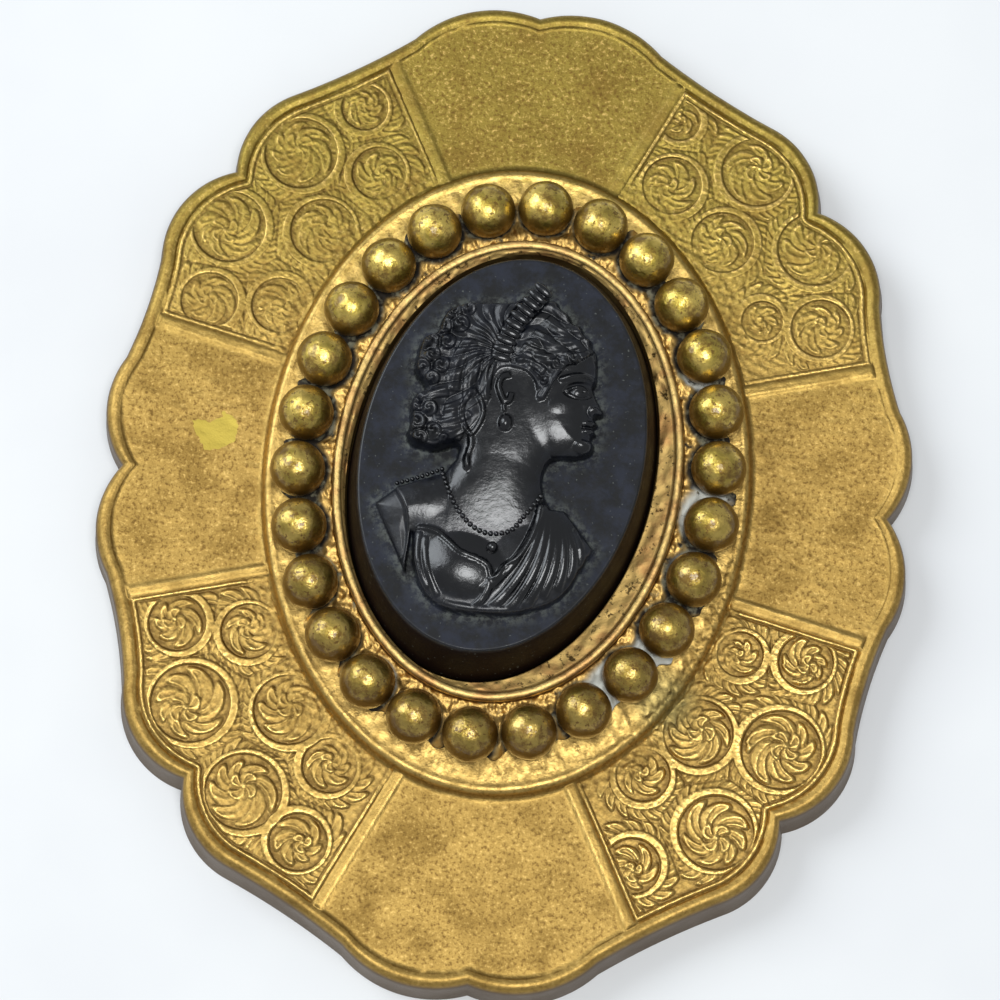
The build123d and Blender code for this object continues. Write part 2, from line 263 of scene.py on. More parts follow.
def soften(values: Array, cells: int) -> Array:
    """Blur a grid, as its mean over a square, twice over.

    Args:
        values: Grid of values.
        cells: Half the square's side in cells.

    Returns:
        The blurred grid.
    """
    for _ in range(2):
        for axis in (0, 1):
            width = [(cells, cells) if axis == n else (0, 0) for n in (0, 1)]
            summed = np.cumsum(np.pad(values, width, mode="edge"), axis=axis)
            ahead = np.take(summed, range(2 * cells, summed.shape[axis]), axis=axis)
            behind = np.take(summed, range(0, summed.shape[axis] - 2 * cells), axis=axis)
            values = (ahead - behind) / (2 * cells)
    return values


# Meshes


def grid_faces(rows: int, columns: int, wraps: bool) -> Array:
    """Four-sided faces between the points of a grid stored row by row.

    Args:
        rows: Number of rows.
        columns: Points in a row.
        wraps: Whether the last column meets the first.

    Returns:
        The corners of each face.
    """
    across = columns if wraps else columns - 1
    row, column = np.meshgrid(np.arange(rows - 1), np.arange(across), indexing="ij")
    following = (column + 1) % columns
    near, far = row * columns, (row + 1) * columns
    corners = [near + column, near + following, far + following, far + column]
    return np.stack([c.ravel() for c in corners], 1)


def fan_faces(ring: Array, tip: int) -> Array:
    """Triangles between a closed ring of points and one tip."""
    return np.stack([ring, np.roll(ring, -1), np.full(len(ring), tip)], 1)


def enclosed_volume(points: Array, faces: list[Array]) -> float:
    """Volume that a closed mesh holds.

    Args:
        points: Corner places.
        faces: Groups of faces, each group with one number of corners.

    Returns:
        The volume, negative if the mesh is inside out.
    """
    total = 0.0
    for group in faces:
        for corner in range(1, group.shape[1] - 1):
            a, b, c = points[group[:, 0]], points[group[:, corner]], points[group[:, corner + 1]]
            total += float(np.einsum("ij,ij->i", a, np.cross(b, c)).sum())
    return total / 6


def put(name: str, data: bpy.types.ID) -> Piece:
    """Add an object to the scene.

    Args:
        name: Its name.
        data: Its mesh, curve, lamp or camera.

    Returns:
        The new object, at the origin.
    """
    made = bpy.data.objects.new(name, data)
    bpy.context.scene.collection.objects.link(made)
    return made


def build_mesh(name: str, points: Array, faces: list[Array], shares: dict[str, Array]) -> Piece:
    """Make a closed, smooth-shaded piece whose faces point outwards.

    Args:
        name: Name of the piece.
        points: Corner places in millimetres.
        faces: Groups of faces, each group with one number of corners.
        shares: Named values for each corner, which the finishes read.

    Returns:
        The new object, at the origin.
    """
    if enclosed_volume(points, faces) < 0:
        faces = [group[:, ::-1] for group in faces]
    mesh = bpy.data.meshes.new(name)
    mesh.vertices.add(len(points))
    mesh.vertices.foreach_set("co", (points * MM).astype(np.float32).ravel())
    counts = np.concatenate([np.full(len(group), group.shape[1]) for group in faces])
    mesh.loops.add(int(counts.sum()))
    mesh.loops.foreach_set(
        "vertex_index", np.concatenate([group.ravel() for group in faces]).astype(np.int32)
    )
    mesh.polygons.add(len(counts))
    mesh.polygons.foreach_set("loop_start", (np.cumsum(counts) - counts).astype(np.int32))
    mesh.polygons.foreach_set("use_smooth", np.ones(len(counts), bool))
    mesh.update(calc_edges=True)
    mesh.validate()
    for key, values in shares.items():
        attribute = mesh.attributes.new(key, "FLOAT", "POINT")
        attribute.data.foreach_set("value", values.astype(np.float32).ravel())
    return put(name, mesh)


class Skin:
    """Closed skin laid ring by ring, which carries the values that its finish reads."""

    def __init__(self, *marks: str) -> None:
        """Start an empty skin with the named values."""
        self.rings: list[Array] = []
        self.marks: dict[str, list[Array]] = {mark: [] for mark in marks}

    def lay(self, flat: Array, height: Level, *values: Level) -> None:
        """Add one ring of points.

        Args:
            flat: Its points in plan.
            height: Their heights.
            *values: The value of each mark there, in the marks' order.
        """
        self.rings.append(np.column_stack([flat, np.broadcast_to(height, len(flat))]))
        for laid, value in zip(self.marks.values(), values):
            laid.append(np.broadcast_to(value, len(flat)))

    def close(self, name: str, tips: Tips = (), value: float = 0.0) -> Piece:
        """Close the skin and make it a piece.

        Args:
            name: Name of the piece.
            tips: Points that close the first ring and the last, or none where these two meet.
            value: Value of each mark at the tips.

        Returns:
            The finished piece.
        """
        points = np.vstack([*self.rings, *tips])
        columns = len(self.rings[0])
        first = np.arange(columns)
        last = first + (len(self.rings) - 1) * columns
        if tips:
            ends = [fan_faces(first[::-1], len(points) - 2), fan_faces(last, len(points) - 1)]
            joined = np.vstack(ends)
        else:
            joined = np.stack([first, last, np.roll(last, -1), np.roll(first, -1)], 1)
        values = {mark: np.concatenate([*laid, [value] * len(tips)]) for mark, laid in self.marks.items()}
        return build_mesh(name, points, [grid_faces(len(self.rings), columns, True), joined], values)


class SubAssembly:
    """Shared steps of the sub-assemblies: each builds its mesh and dresses it."""

    slot: str
    nodes: tuple[str, ...] = ()

    def build(self) -> Piece:
        """Build the piece's mesh."""
        raise NotImplementedError

    def make(self, finish: Material) -> None:
        """Build the piece and dress it."""
        self.dress(self.build(), finish, self.nodes)

    def dress(self, piece: Piece, finish: Material, nodes: tuple[str, ...] = ()) -> None:
        """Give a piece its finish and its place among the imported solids.

        Args:
            piece: The piece.
            finish: Its material.
            nodes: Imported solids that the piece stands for.
        """
        piece.data.materials.clear()
        piece.data.materials.append(finish)
        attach(piece, ROOT)
        if nodes:
            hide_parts(*nodes)
        log.info("%s: %d faces, slot %s", piece.name, len(piece.data.polygons), self.slot)


# Node trees


def linear(colour: str) -> tuple[float, float, float, float]:
    """Linear colour of an sRGB hex value.

    Args:
        colour: Six hex digits after a number sign.

    Returns:
        Red, green and blue, and full cover.
    """
    channels = [int(colour[n : n + 2], 16) / 255 for n in (1, 3, 5)]
    straight = [c / 12.92 if c <= 0.04045 else ((c + 0.055) / 1.055) ** 2.4 for c in channels]
    return (*straight, 1.0)


def add_node(tree: Tree, kind: str, inputs: dict[Any, Any] | None = None, **settings: Any) -> Node:
    """Add a node with its settings, values and links.

    Args:
        tree: Tree that gets the node.
        kind: Blender's name of the node.
        inputs: Value or linked socket for each input, by name or number.
        **settings: Properties of the node.

    Returns:
        The new node.
    """
    node = tree.nodes.new(kind)
    for name, value in settings.items():
        setattr(node, name, value)
    for key, value in (inputs or {}).items():
        if isinstance(value, Socket):
            tree.links.new(value, node.inputs[key])
        else:
            node.inputs[key].default_value = value
    return node


@dataclass(frozen=True)
class Pattern:
    """Uneven pattern of a finish: the size of its spots in millimetres, and how busy it is."""

    name: str
    size: float
    detail: float = 3.0
    rough: float = 0.55


@dataclass(frozen=True)
class Reading:
    """Value stretched with soft ends from its range, low to high, to least to most."""

    value: Socket
    low: float
    high: float
    least: float = 0.0
    most: float = 1.0


@dataclass(frozen=True)
class Spot:
    """Patch of another colour: its middle, the reach of its full part and of its ragged edge, in mm."""

    middle: tuple[float, float, float]
    full: float
    reach: float
    ragged: float
    most: float = 1.0


class Finish:
    """Shared steps of the finishes: each one fills a node tree of its own."""

    name: str
    marks: tuple[str, ...] = ()
    patterns: tuple[Pattern, ...] = ()

    def material(self) -> Material:
        """Make the material and fill its tree.

        Returns:
            The new material.
        """
        made = bpy.data.materials.new(self.name)
        made.use_nodes = True
        made.node_tree.nodes.clear()
        shader = self.shader(made.node_tree)
        add_node(made.node_tree, "ShaderNodeOutputMaterial", {"Surface": shader.outputs[0]})
        return made

    def shader(self, tree: Tree) -> Node:
        """Fill the tree and return its surface shader."""
        raise NotImplementedError

    def sources(self, tree: Tree) -> dict[str, Socket]:
        """Add the values that the finish reads.

        Args:
            tree: Tree that gets the nodes.

        Returns:
            Place on the object in metres, its parts along Y and Z, the mesh's marks and the patterns.
        """
        place = add_node(tree, "ShaderNodeTexCoord").outputs["Object"]
        parts = add_node(tree, "ShaderNodeSeparateXYZ", {0: place}).outputs
        found = {"place": place, "along": parts[1], "height": parts[2]}
        for mark in self.marks:
            found[mark] = add_node(tree, "ShaderNodeAttribute", attribute_name=mark).outputs["Fac"]
        for pattern in self.patterns:
            given = {"Vector": place, "Scale": 1 / (pattern.size * MM)}
            given |= {"Detail": pattern.detail, "Roughness": pattern.rough}
            found[pattern.name] = add_node(tree, "ShaderNodeTexNoise", given).outputs[0]
        return found

    def joined(self, tree: Tree, *parts: Reading | Socket | float, operation: str = "MULTIPLY") -> Socket:
        """Join shares to one, kept from 0 to 1.

        Args:
            tree: Tree that gets the nodes.
            *parts: Readings, which are stretched first, and sockets or values as they are.
            operation: How each part is joined to those before it.

        Returns:
            The share.
        """
        total = None
        for part in parts:
            if isinstance(part, Reading):
                given = {"Value": part.value, "From Min": part.low, "From Max": part.high}
                given |= {"To Min": part.least, "To Max": part.most}
                part = add_node(
                    tree, "ShaderNodeMapRange", given, interpolation_type="SMOOTHSTEP"
                ).outputs[0]
            if total is None:
                total = part
                continue
            given = {0: total, 1: part}
            total = add_node(tree, "ShaderNodeMath", given, operation=operation, use_clamp=True).outputs[0]
        return total

    def layered(self, tree: Tree, ground: str, *coats: tuple[Reading | Socket, str]) -> Socket:
        """Lay colours over one another.

        Args:
            tree: Tree that gets the nodes.
            ground: Colour under the rest.
            *coats: For each coat the share that it covers and its colour.

        Returns:
            The colour that is seen.
        """
        seen = linear(ground)
        for share, colour in coats:
            given = {0: self.joined(tree, share), 6: seen, 7: linear(colour)}
            seen = add_node(tree, "ShaderNodeMix", given, data_type="RGBA").outputs[2]
        return seen

    def within(self, tree: Tree, place: Socket, spot: Spot) -> Socket:
        """Share of a spot's colour at each place.

        Args:
            tree: Tree that gets the nodes.
            place: Place on the object in metres.
            spot: The spot.

        Returns:
            The share, which fades out past a ragged edge.
        """
        noise = {"Vector": place, "Scale": 1 / (spot.ragged * MM), "Detail": 3.0, "Roughness": 0.55}
        ragged = add_node(tree, "ShaderNodeTexNoise", noise).outputs[0]
        centre = {0: place, 1: tuple(value * MM for value in spot.middle)}
        distance = add_node(tree, "ShaderNodeVectorMath", centre, operation="DISTANCE").outputs["Value"]
        given = {0: ragged, 1: 2 * spot.ragged * MM, 2: distance}
        uneven = add_node(tree, "ShaderNodeMath", given, operation="MULTIPLY_ADD").outputs[0]
        full, reach = (spot.full + spot.ragged) * MM, (spot.reach + spot.ragged) * MM
        return self.joined(tree, Reading(uneven, full, reach, spot.most, 0.0))


@dataclass(frozen=True)
class StampedBrass(Finish):
    """Gilt brass sheet, stamped."""

    # The colour runs from ochre low on the plate to olive high on it, on a satin skin. Crests and raised
    # parts are drawn light, partly rubbed gilt and partly painted highlight, and patina leaves the hollows
    # brown. The fields' grain is drawn coarser than real grit, so that it shows.
    name: str = "stamped gilt brass"
    olive: str = "#9A853F"
    ochre: str = "#B79652"
    crest: str = "#DCB96C"
    shade: str = "#8A6C34"
    hollow: str = "#574022"
    grit_dark: str = "#75572C"
    grit_light: str = "#E2BF74"
    # Painted shade: the side wall and the rim's outer roll are drawn a darker grey-brown.
    wall_shade: str = "#6A5B4B"
    bare: str = "#C2AC50"
    green: str = "#5E7355"
    satin: float = 0.42
    ochre_below: float = 3.0
    olive_above: float = 19.0
    bare_spot: Spot = Spot((-16.75, 2.35, 2.7), 1.0, 1.1, 1.5)
    green_spots: tuple[Spot, ...] = (
        Spot((9.9, -11.6, 3.0), 0.78, 2.6, 0.5, 0.35),
        Spot((-7.2, 10.6, 3.3), 0.42, 1.4, 0.5, 0.35),
    )
    marks: tuple[str, ...] = ("cavity", "matte", "wall")
    patterns: tuple[Pattern, ...] = (Pattern("blotches", 2.4, 4.0, 0.6), Pattern("grit", 0.24, 3.0, 0.75))

    def shader(self, tree: Tree) -> Node:
        """Satin metal whose colour follows height, field and wall.

        Args:
            tree: Tree that gets the nodes.

        Returns:
            The surface shader.
        """
        seen = self.sources(tree)
        cavity, matte, blotches, grit = (seen[key] for key in ("cavity", "matte", "blotches", "grit"))
        on_field = Reading(matte, 0.0, 1.0, 0.35, 0.8)
        colour = self.layered(
            tree,
            self.ochre,
            (Reading(seen["along"], self.ochre_below * MM, self.olive_above * MM), self.olive),
            (Reading(blotches, 0.44, 0.7, 0.0, 0.5), self.shade),
            (Reading(cavity, 0.45, 0.9, 0.0, 0.72), self.hollow),
            # Painted highlight, with rubbed gilt: crests and raised parts turn lighter.
            (Reading(cavity, 0.38, 0.08, 0.0, 0.75), self.crest),
            (self.joined(tree, Reading(grit, 0.5, 0.66), on_field), self.grit_dark),
            (self.joined(tree, Reading(grit, 0.46, 0.3), on_field), self.grit_light),
            (self.within(tree, seen["place"], self.bare_spot), self.bare),
            *[(self.within(tree, seen["place"], spot), self.green) for spot in self.green_spots],
            # Painted shade on the side wall and the rim's outer roll.
            (seen["wall"], self.wall_shade),
        )
        rough = self.joined(
            tree,
            Reading(matte, 0.0, 1.0, self.satin, self.satin + 0.13),
            Reading(blotches, 0.3, 0.7, 0.0, 0.1),
            Reading(cavity, 0.35, 0.1, 0.0, -0.14),
            operation="ADD",
        )
        bump = add_node(tree, "ShaderNodeBump", {"Strength": 0.7, "Distance": 0.04 * MM, "Height": grit})
        given = {"Base Color": colour, "Metallic": 1.0, "Roughness": rough, "Normal": bump.outputs[0]}
        return add_node(tree, "ShaderNodeBsdfPrincipled", given)


@dataclass(frozen=True)
class DullBrass(Finish):
    """Plain brass of the back, never polished."""

    # Rolled sheet that nobody rubs goes dull and spotted brown.
    name: str = "dull plain brass"
    body: str = "#A38C52"
    stain: str = "#6E5630"
    patterns: tuple[Pattern, ...] = (Pattern("stains", 3.0, 4.0),)

    def shader(self, tree: Tree) -> Node:
        """Rough metal with broad stains.

        Args:
            tree: Tree that gets the nodes.

        Returns:
            The surface shader.
        """
        stains = self.joined(tree, Reading(self.sources(tree)["stains"], 0.45, 0.7, 0.0, 0.8))
        colour = self.layered(tree, self.body, (stains, self.stain))
        rough = self.joined(tree, Reading(stains, 0.0, 1.0, 0.45, 0.6))
        return add_node(
            tree, "ShaderNodeBsdfPrincipled", {"Base Color": colour, "Metallic": 1.0, "Roughness": rough}
        )


@dataclass(frozen=True)
class WornGilt(Finish):
    """Rose-coloured gilding, burnished by hand."""

    # Burnishing gives bright ridges with rose patches, dirt stays black in the pits, and the lip's sides and
    # the seat's edge are drawn darker.
    name: str = "worn rose gilt"
    bright: str = "#E0BF78"
    rose: str = "#C69A60"
    pit_and_corner: str = "#3A2612"
    marks: tuple[str, ...] = ("cavity",)
    patterns: tuple[Pattern, ...] = (
        Pattern("patches", 1.6), Pattern("pits", 0.35, 4.0, 0.7), Pattern("dents", 0.3, 4.0)
    )

    def shader(self, tree: Tree) -> Node:
        """Satin gilt metal with rose patches and pits filled with dirt.

        Args:
            tree: Tree that gets the nodes.

        Returns:
            The surface shader.
        """
        seen = self.sources(tree)
        cavity = seen["cavity"]
        pits = self.joined(tree, Reading(seen["pits"], 0.55, 0.63), Reading(cavity, 0.1, 0.5, 0.3, 0.9))
        darkened = self.joined(tree, pits, Reading(cavity, 0.6, 1.0, 0.0, 0.85), operation="MAXIMUM")
        colour = self.layered(
            tree, self.bright, (Reading(seen["patches"], 0.42, 0.66), self.rose), (darkened, self.pit_and_corner)
        )
        rough = self.joined(tree, Reading(cavity, 0.1, 0.4, 0.48, 0.62))
        bump = add_node(
            tree, "ShaderNodeBump", {"Strength": 0.6, "Distance": 0.06 * MM, "Height": seen["dents"]}
        )
        given = {"Base Color": colour, "Metallic": 1.0, "Roughness": rough, "Normal": bump.outputs[0]}
        return add_node(tree, "ShaderNodeBsdfPrincipled", given)


@dataclass(frozen=True)
class TarnishedBrass(Finish):
    """Old lacquered brass balls."""

    # Old lacquer keeps the crowns olive yellow and shiny. Towards each ball's foot a brown bloom gathers,
    # partly tarnish and partly painted shade, and balls low on the ring are drawn browner as painted shade.
    name: str = "tarnished bead brass"
    crown: str = "#FADA70"
    olive: str = "#CFB54E"
    bloom: str = "#64431A"
    brown: str = "#8A6B34"
    crown_height: float = 6.2
    foot_height: float = 4.5
    low_ring_shade_reach: float = 12.0
    lacquer: float = 0.7
    patterns: tuple[Pattern, ...] = (
        Pattern("blotches", 0.8, 6.0, 0.72),
        Pattern("pits", 0.3, 3.0, 0.6),
        Pattern("tones", 1.3),
        Pattern("dents", 0.5, 4.0, 0.6),
    )

    def shader(self, tree: Tree) -> Node:
        """Semi-bright metal with blotches that gather low on each ball, partly tarnish and partly painted
        shade.

        Args:
            tree: Tree that gets the nodes.

        Returns:
            The surface shader.
        """
        seen = self.sources(tree)
        # Painted shade, with tarnish: the bloom thickens towards each ball's foot.
        low = Reading(seen["height"], self.foot_height * MM, self.crown_height * MM, 0.62, 0.0)
        pits = Reading(seen["pits"], 0.58, 0.68, 0.0, 0.4)
        darkened = self.joined(tree, self.joined(tree, seen["blotches"], 1.06), pits, low, operation="ADD")
        gathered = self.joined(tree, Reading(darkened, 0.44, 0.7))
        colour = self.layered(
            tree,
            self.crown,
            (Reading(seen["tones"], 0.42, 0.6), self.olive),
            # Painted shade: balls low on the ring turn browner.
            (Reading(seen["along"], -self.low_ring_shade_reach * MM, self.low_ring_shade_reach * MM, 0.55, 0.0), self.brown),
            (self.joined(tree, gathered, 0.8), self.bloom),
        )
        rough = self.joined(tree, Reading(gathered, 0.0, 1.0, 0.34, 0.55))
        bump = add_node(
            tree, "ShaderNodeBump", {"Strength": 0.7, "Distance": 0.09 * MM, "Height": seen["dents"]}
        )
        given = {"Base Color": colour, "Metallic": 1.0, "Roughness": rough, "Normal": bump.outputs[0]}
        given |= {"Coat Weight": self.lacquer, "Coat Roughness": 0.09, "Coat Normal": bump.outputs[0]}
        return add_node(tree, "ShaderNodeBsdfPrincipled", given)


@dataclass(frozen=True)
class BlackGlass(Finish):
    """Pressed black glass."""

    # The mould leaves the ground dull, and its blue-grey colour is a painted sheen of the room on that
    # dull skin. The raised skin is polished deep black, and pale dust lies on the ground and in the corners.
    name: str = "pressed black glass"
    body: str = "#040508"
    # Painted sheen of the room on the dull ground.
    ground_sheen: str = "#1E222E"
    side_tint: str = "#120704"
    dust: str = "#7B8078"
    dull: float = 0.58
    bright: float = 0.18
    least_gloss: float = 0.0
    glass_ior: float = 1.7
    full_shine: float = 0.42
    ground_shine: float = 0.18
    side_shine: float = 0.07
    marks: tuple[str, ...] = ("gloss", "dust", "wall")
    patterns: tuple[Pattern, ...] = (
        Pattern("clouds", 1.2, 5.0, 0.7),
        Pattern("specks", 0.2, 1.0),
        Pattern("crumbs", 0.45, 5.0, 0.75),
        Pattern("smears", 0.6),
        Pattern("fine", 0.1),
        Pattern("pressed", 0.35),
    )

    def shader(self, tree: Tree) -> Node:
        """Deep black with a satin to glossy skin and pale specks.

        Args:
            tree: Tree that gets the nodes.

        Returns:
            The surface shader.
        """
        seen = self.sources(tree)
        gloss = self.joined(tree, seen["gloss"], self.least_gloss, operation="MAXIMUM")
        ground = self.joined(tree, 1.0, gloss, operation="SUBTRACT")
        specks = self.joined(tree, Reading(seen["specks"], 0.7, 0.77), ground)
        crumbs = self.joined(tree, Reading(seen["crumbs"], 0.42, 0.62), seen["dust"])
        colour = self.layered(
            tree,
            self.body,
            # Painted sheen: blue-grey in clouds on the dull ground.
            (Reading(seen["clouds"], 0.36, 0.66), self.ground_sheen),
            (gloss, self.body),
            (seen["wall"], self.side_tint),
            (self.joined(tree, self.joined(tree, specks, crumbs, operation="MAXIMUM"), 0.36), self.dust),
        )
        smears = Reading(seen["smears"], 0.3, 0.7, 0.0, 0.06)
        rough = self.joined(tree, Reading(gloss, 0.0, 1.0, self.dull, self.bright), smears, operation="ADD")
        fine = add_node(
            tree, "ShaderNodeBump", {"Strength": 0.4, "Distance": 0.01 * MM, "Height": seen["fine"]}
        )
        pressed = {
            "Strength": 0.5, "Distance": 0.03 * MM, "Height": seen["pressed"], "Normal": fine.outputs[0]
        }
        bump = add_node(tree, "ShaderNodeBump", pressed)
        shine = self.joined(
            tree,
            Reading(gloss, 0.0, 1.0, self.ground_shine, self.full_shine),
            Reading(seen["wall"], 0.0, 1.0, 1.0, self.side_shine / self.ground_shine),
        )
        given = {"Base Color": colour, "Roughness": rough, "IOR": self.glass_ior, "Normal": bump.outputs[0]}
        return add_node(tree, "ShaderNodeBsdfPrincipled", given | {"Specular IOR Level": shine})


@dataclass(frozen=True)
class SetFiller(Finish):
    """Old mineral filler round the beads."""

    # It sets chalky and rough. With age it shows grey-green crumbs, white flakes and smears of gilt.
    name: str = "old mineral filler"
    grey: str = "#7C7862"
    dirt: str = "#211A11"
    flake: str = "#D6D7CE"
    gilt: str = "#D2AB62"
    marks: tuple[str, ...] = ("flake", "gilt")
    patterns: tuple[Pattern, ...] = (
        Pattern("crumbs", 0.6, 4.0),
        Pattern("chalk", 0.7),
        Pattern("smears", 0.9),
        Pattern("dents", 0.3, 4.0),
    )

    def shader(self, tree: Tree) -> Node:
        """Chalky surface that turns to white flakes and gilt where the mesh says so.

        Args:
            tree: Tree that gets the nodes.

        Returns:
            The surface shader.
        """
        seen = self.sources(tree)
        gilded = self.joined(tree, seen["gilt"], Reading(seen["smears"], 0.3, 0.44))
        colour = self.layered(
            tree,
            self.grey,
            (Reading(seen["crumbs"], 0.36, 0.52), self.dirt),
            (self.joined(tree, seen["flake"], Reading(seen["chalk"], 0.32, 0.42)), self.flake),
            (gilded, self.gilt),
        )
        rough = self.joined(tree, Reading(gilded, 0.0, 1.0, 0.85, 0.45))
        bump = add_node(
            tree, "ShaderNodeBump", {"Strength": 0.6, "Distance": 0.08 * MM, "Height": seen["dents"]}
        )
        given = {"Base Color": colour, "Metallic": gilded, "Roughness": rough, "Normal": bump.outputs[0]}
        return add_node(tree, "ShaderNodeBsdfPrincipled", given)


@dataclass(frozen=True)
class PaperFloor(Finish):
    """Matt white board under the brooch."""

    # Uncoated board scatters light evenly, with faint clouds.
    name: str = "matt white board"
    white: str = "#EEEFEF"
    grey: str = "#E9EAEB"
    patterns: tuple[Pattern, ...] = (Pattern("clouds", 18.0),)

    def shader(self, tree: Tree) -> Node:
        """Plain diffuse white.

        Args:
            tree: Tree that gets the nodes.

        Returns:
            The surface shader.
        """
        clouds = Reading(self.sources(tree)["clouds"], 0.3, 0.7)
        colour = self.layered(tree, self.white, (clouds, self.grey))
        return add_node(tree, "ShaderNodeBsdfPrincipled", {"Base Color": colour, "Roughness": 0.75})


# The plate


@dataclass(frozen=True)
class OutlineRow:
    """Point of the plate's outline as shares of its half sizes, and its share of the foot's flare."""

    along_x: float
    along_y: float
    flare: float


@dataclass(frozen=True)
class Rib:
    """Line between two panels as shares of the plate's half sizes from the collar's middle."""

    inner_x: float
    inner_y: float
    outer_x: float
    outer_y: float


@dataclass(frozen=True)
class ScrollRound:
    """Round of scrollwork: middle and radius as shares of the plate's half sizes, and its curl."""

    along_x: float
    along_y: float
    radius: float
    curl: int


class Corner(Enum):
    """The four scroll panels by the side of the plate they lie on."""

    TOP_RIGHT = (1, 1)
    TOP_LEFT = (-1, 1)
    BOTTOM_LEFT = (-1, -1)
    BOTTOM_RIGHT = (1, -1)


SCROLLS: dict[Corner, tuple[ScrollRound, ...]] = {
    corner: tuple(ScrollRound(*row) for row in rows)
    for corner, rows in {
        Corner.TOP_RIGHT: (
            (0.391, 0.798, 0.062, 1), (0.597, 0.701, 0.101, -1), (0.381, 0.66, 0.086, -1),
            (0.525, 0.549, 0.09, 1), (0.765, 0.546, 0.106, 1), (0.791, 0.383, 0.086, -1),
            (0.638, 0.392, 0.062, 1),
        ),
        Corner.TOP_LEFT: (
            (0.447, 0.779, 0.07, -1), (0.6, 0.674, 0.104, 1), (0.396, 0.643, 0.08, 1),
            (0.772, 0.509, 0.104, -1), (0.53, 0.513, 0.094, -1), (0.807, 0.352, 0.083, 1),
            (0.624, 0.354, 0.082, -1),
        ),
        Corner.BOTTOM_LEFT: (
            (0.816, 0.318, 0.083, 1), (0.633, 0.326, 0.081, -1), (0.764, 0.478, 0.112, -1),
            (0.51, 0.479, 0.1, 1), (0.398, 0.585, 0.08, -1), (0.609, 0.65, 0.108, 1),
            (0.462, 0.74, 0.084, -1),
        ),
        Corner.BOTTOM_RIGHT: (
            (0.806, 0.306, 0.08, 1), (0.64, 0.302, 0.068, -1), (0.757, 0.487, 0.112, -1),
            (0.545, 0.468, 0.098, 1), (0.604, 0.661, 0.106, 1), (0.41, 0.56, 0.078, -1),
            (0.4, 0.74, 0.082, -1),
        ),
    }.items()
}

# How brown the hollows of each panel are, and how sharp its carving still is, from 0 to 1
PATINA: dict[Corner, float] = {
    Corner.TOP_LEFT: 0.52,
    Corner.TOP_RIGHT: 0.46,
    Corner.BOTTOM_LEFT: 0.53,
    Corner.BOTTOM_RIGHT: 0.45,
}
CRISPNESS: dict[Corner, float] = {
    Corner.TOP_RIGHT: 0.50,
    Corner.TOP_LEFT: 0.46,
    Corner.BOTTOM_LEFT: 0.74,
    Corner.BOTTOM_RIGHT: 0.94,
}


@dataclass
class PlateShape:
    """Sizes of the stamped plate that its shell and panels share."""

    width: float = 44.0
    length: float = 57.2
    wall_height: float = 2.8
    sheet: float = 0.5
    flare: float = 0.3
    field_margin: float = 0.85
    field_depth: float = 0.15
    rib_width: float = 0.5
    collar_width: float = 27.9
    collar_length: float = 37.0
    collar_height: float = 0.4
    shift_x: float = 0.1
    shift_y: float = 0.65
    outline: tuple[OutlineRow, ...] = tuple(OutlineRow(*row) for row in (
        (1.0, 0.0, 0.4), (1.053, 0.101, 0.5), (1.015, 0.224, 0.6), (0.971, 0.334, 0.7), (0.946, 0.442, 0.8),
        (0.901, 0.559, 0.95), (0.77, 0.629, 1.0), (0.74, 0.727, 1.0), (0.637, 0.8, 0.95),
        (0.495, 0.857, 0.85), (0.327, 0.939, 0.75), (0.173, 1.007, 0.65), (0.0, 1.0, 0.6),
    ))
    ribs: tuple[Rib, ...] = (Rib(0.58, 0.213, 0.99, 0.291), Rib(0.225, 0.62, 0.41, 0.9))

    @property
    def floor(self) -> float:
        """Height of the sunk fields."""
        return self.wall_height - self.field_depth

    @property
    def platform(self) -> float:
        """Height of the collar's flat top."""
        return self.wall_height + self.collar_height

    def edge(self, inset: float, flare: float = 0.0, per_arc: int = 48) -> Array:
        """Closed lobed outline, anticlockwise from the notch at +X.

        Args:
            inset: How far it is drawn in.
            flare: How far the foot stands out.
            per_arc: Points for each arc.

        Returns:
            Points of the outline.
        """
        forward, backward = self.outline[:-1], self.outline[:0:-1]
        quarters = ((forward, 1, 1), (backward, -1, 1), (forward, -1, -1), (backward, 1, -1))
        points = []
        for rows, side_x, side_y in quarters:
            for row in rows:
                x = side_x * row.along_x * (self.width / 2 - inset)
                y = side_y * row.along_y * (self.length / 2 - inset)
                stretch = 1 + flare * row.flare / math.hypot(x, y)
                points.append((x * stretch, y * stretch))
        points.append(points[0])
        arcs = [arc_points(*points[n : n + 3], per_arc) for n in range(0, len(points) - 1, 2)]
        return np.vstack(arcs)

    def collar(self, inset: float, angles: Array) -> Array:
        """Points of the collar's oval.

        Args:
            inset: How far it is drawn in.
            angles: Angle of each point from its middle.

        Returns:
            The points.
        """
        a, b = self.collar_width / 2 - inset, self.collar_length / 2 - inset
        reach = a * b / np.hypot(b * np.cos(angles), a * np.sin(angles))
        return np.stack([self.shift_x + reach * np.cos(angles), self.shift_y + reach * np.sin(angles)], 1)

    def rib_line(self, rib: Rib, corner: Corner) -> Array:
        """Two ends of a rib.

        Args:
            rib: The rib.
            corner: The quarter that it lies in.

        Returns:
            Its end by the collar and its end by the rim.
        """
        half = np.array([self.width / 2, self.length / 2]) * corner.value
        middle = np.array([self.shift_x, self.shift_y])
        return np.array([half * (rib.inner_x, rib.inner_y), half * (rib.outer_x, rib.outer_y)]) + middle

    def beside_rib(self, x: Array, y: Array, rib: Rib, corner: Corner) -> Array:
        """Distance from a rib's line.

        Args:
            x: Places along X.
            y: Places along Y.
            rib: The rib.
            corner: The quarter that it lies in.

        Returns:
            Distances, positive on the side of its scroll panel.
        """
        start, end = self.rib_line(rib, corner)
        run = (end - start) / np.hypot(*(end - start))
        away = run[0] * (y - start[1]) - run[1] * (x - start[0])
        diagonal = np.array([self.width, self.length]) / 3 * corner.value - start
        return away * np.sign(run[0] * diagonal[1] - run[1] * diagonal[0])


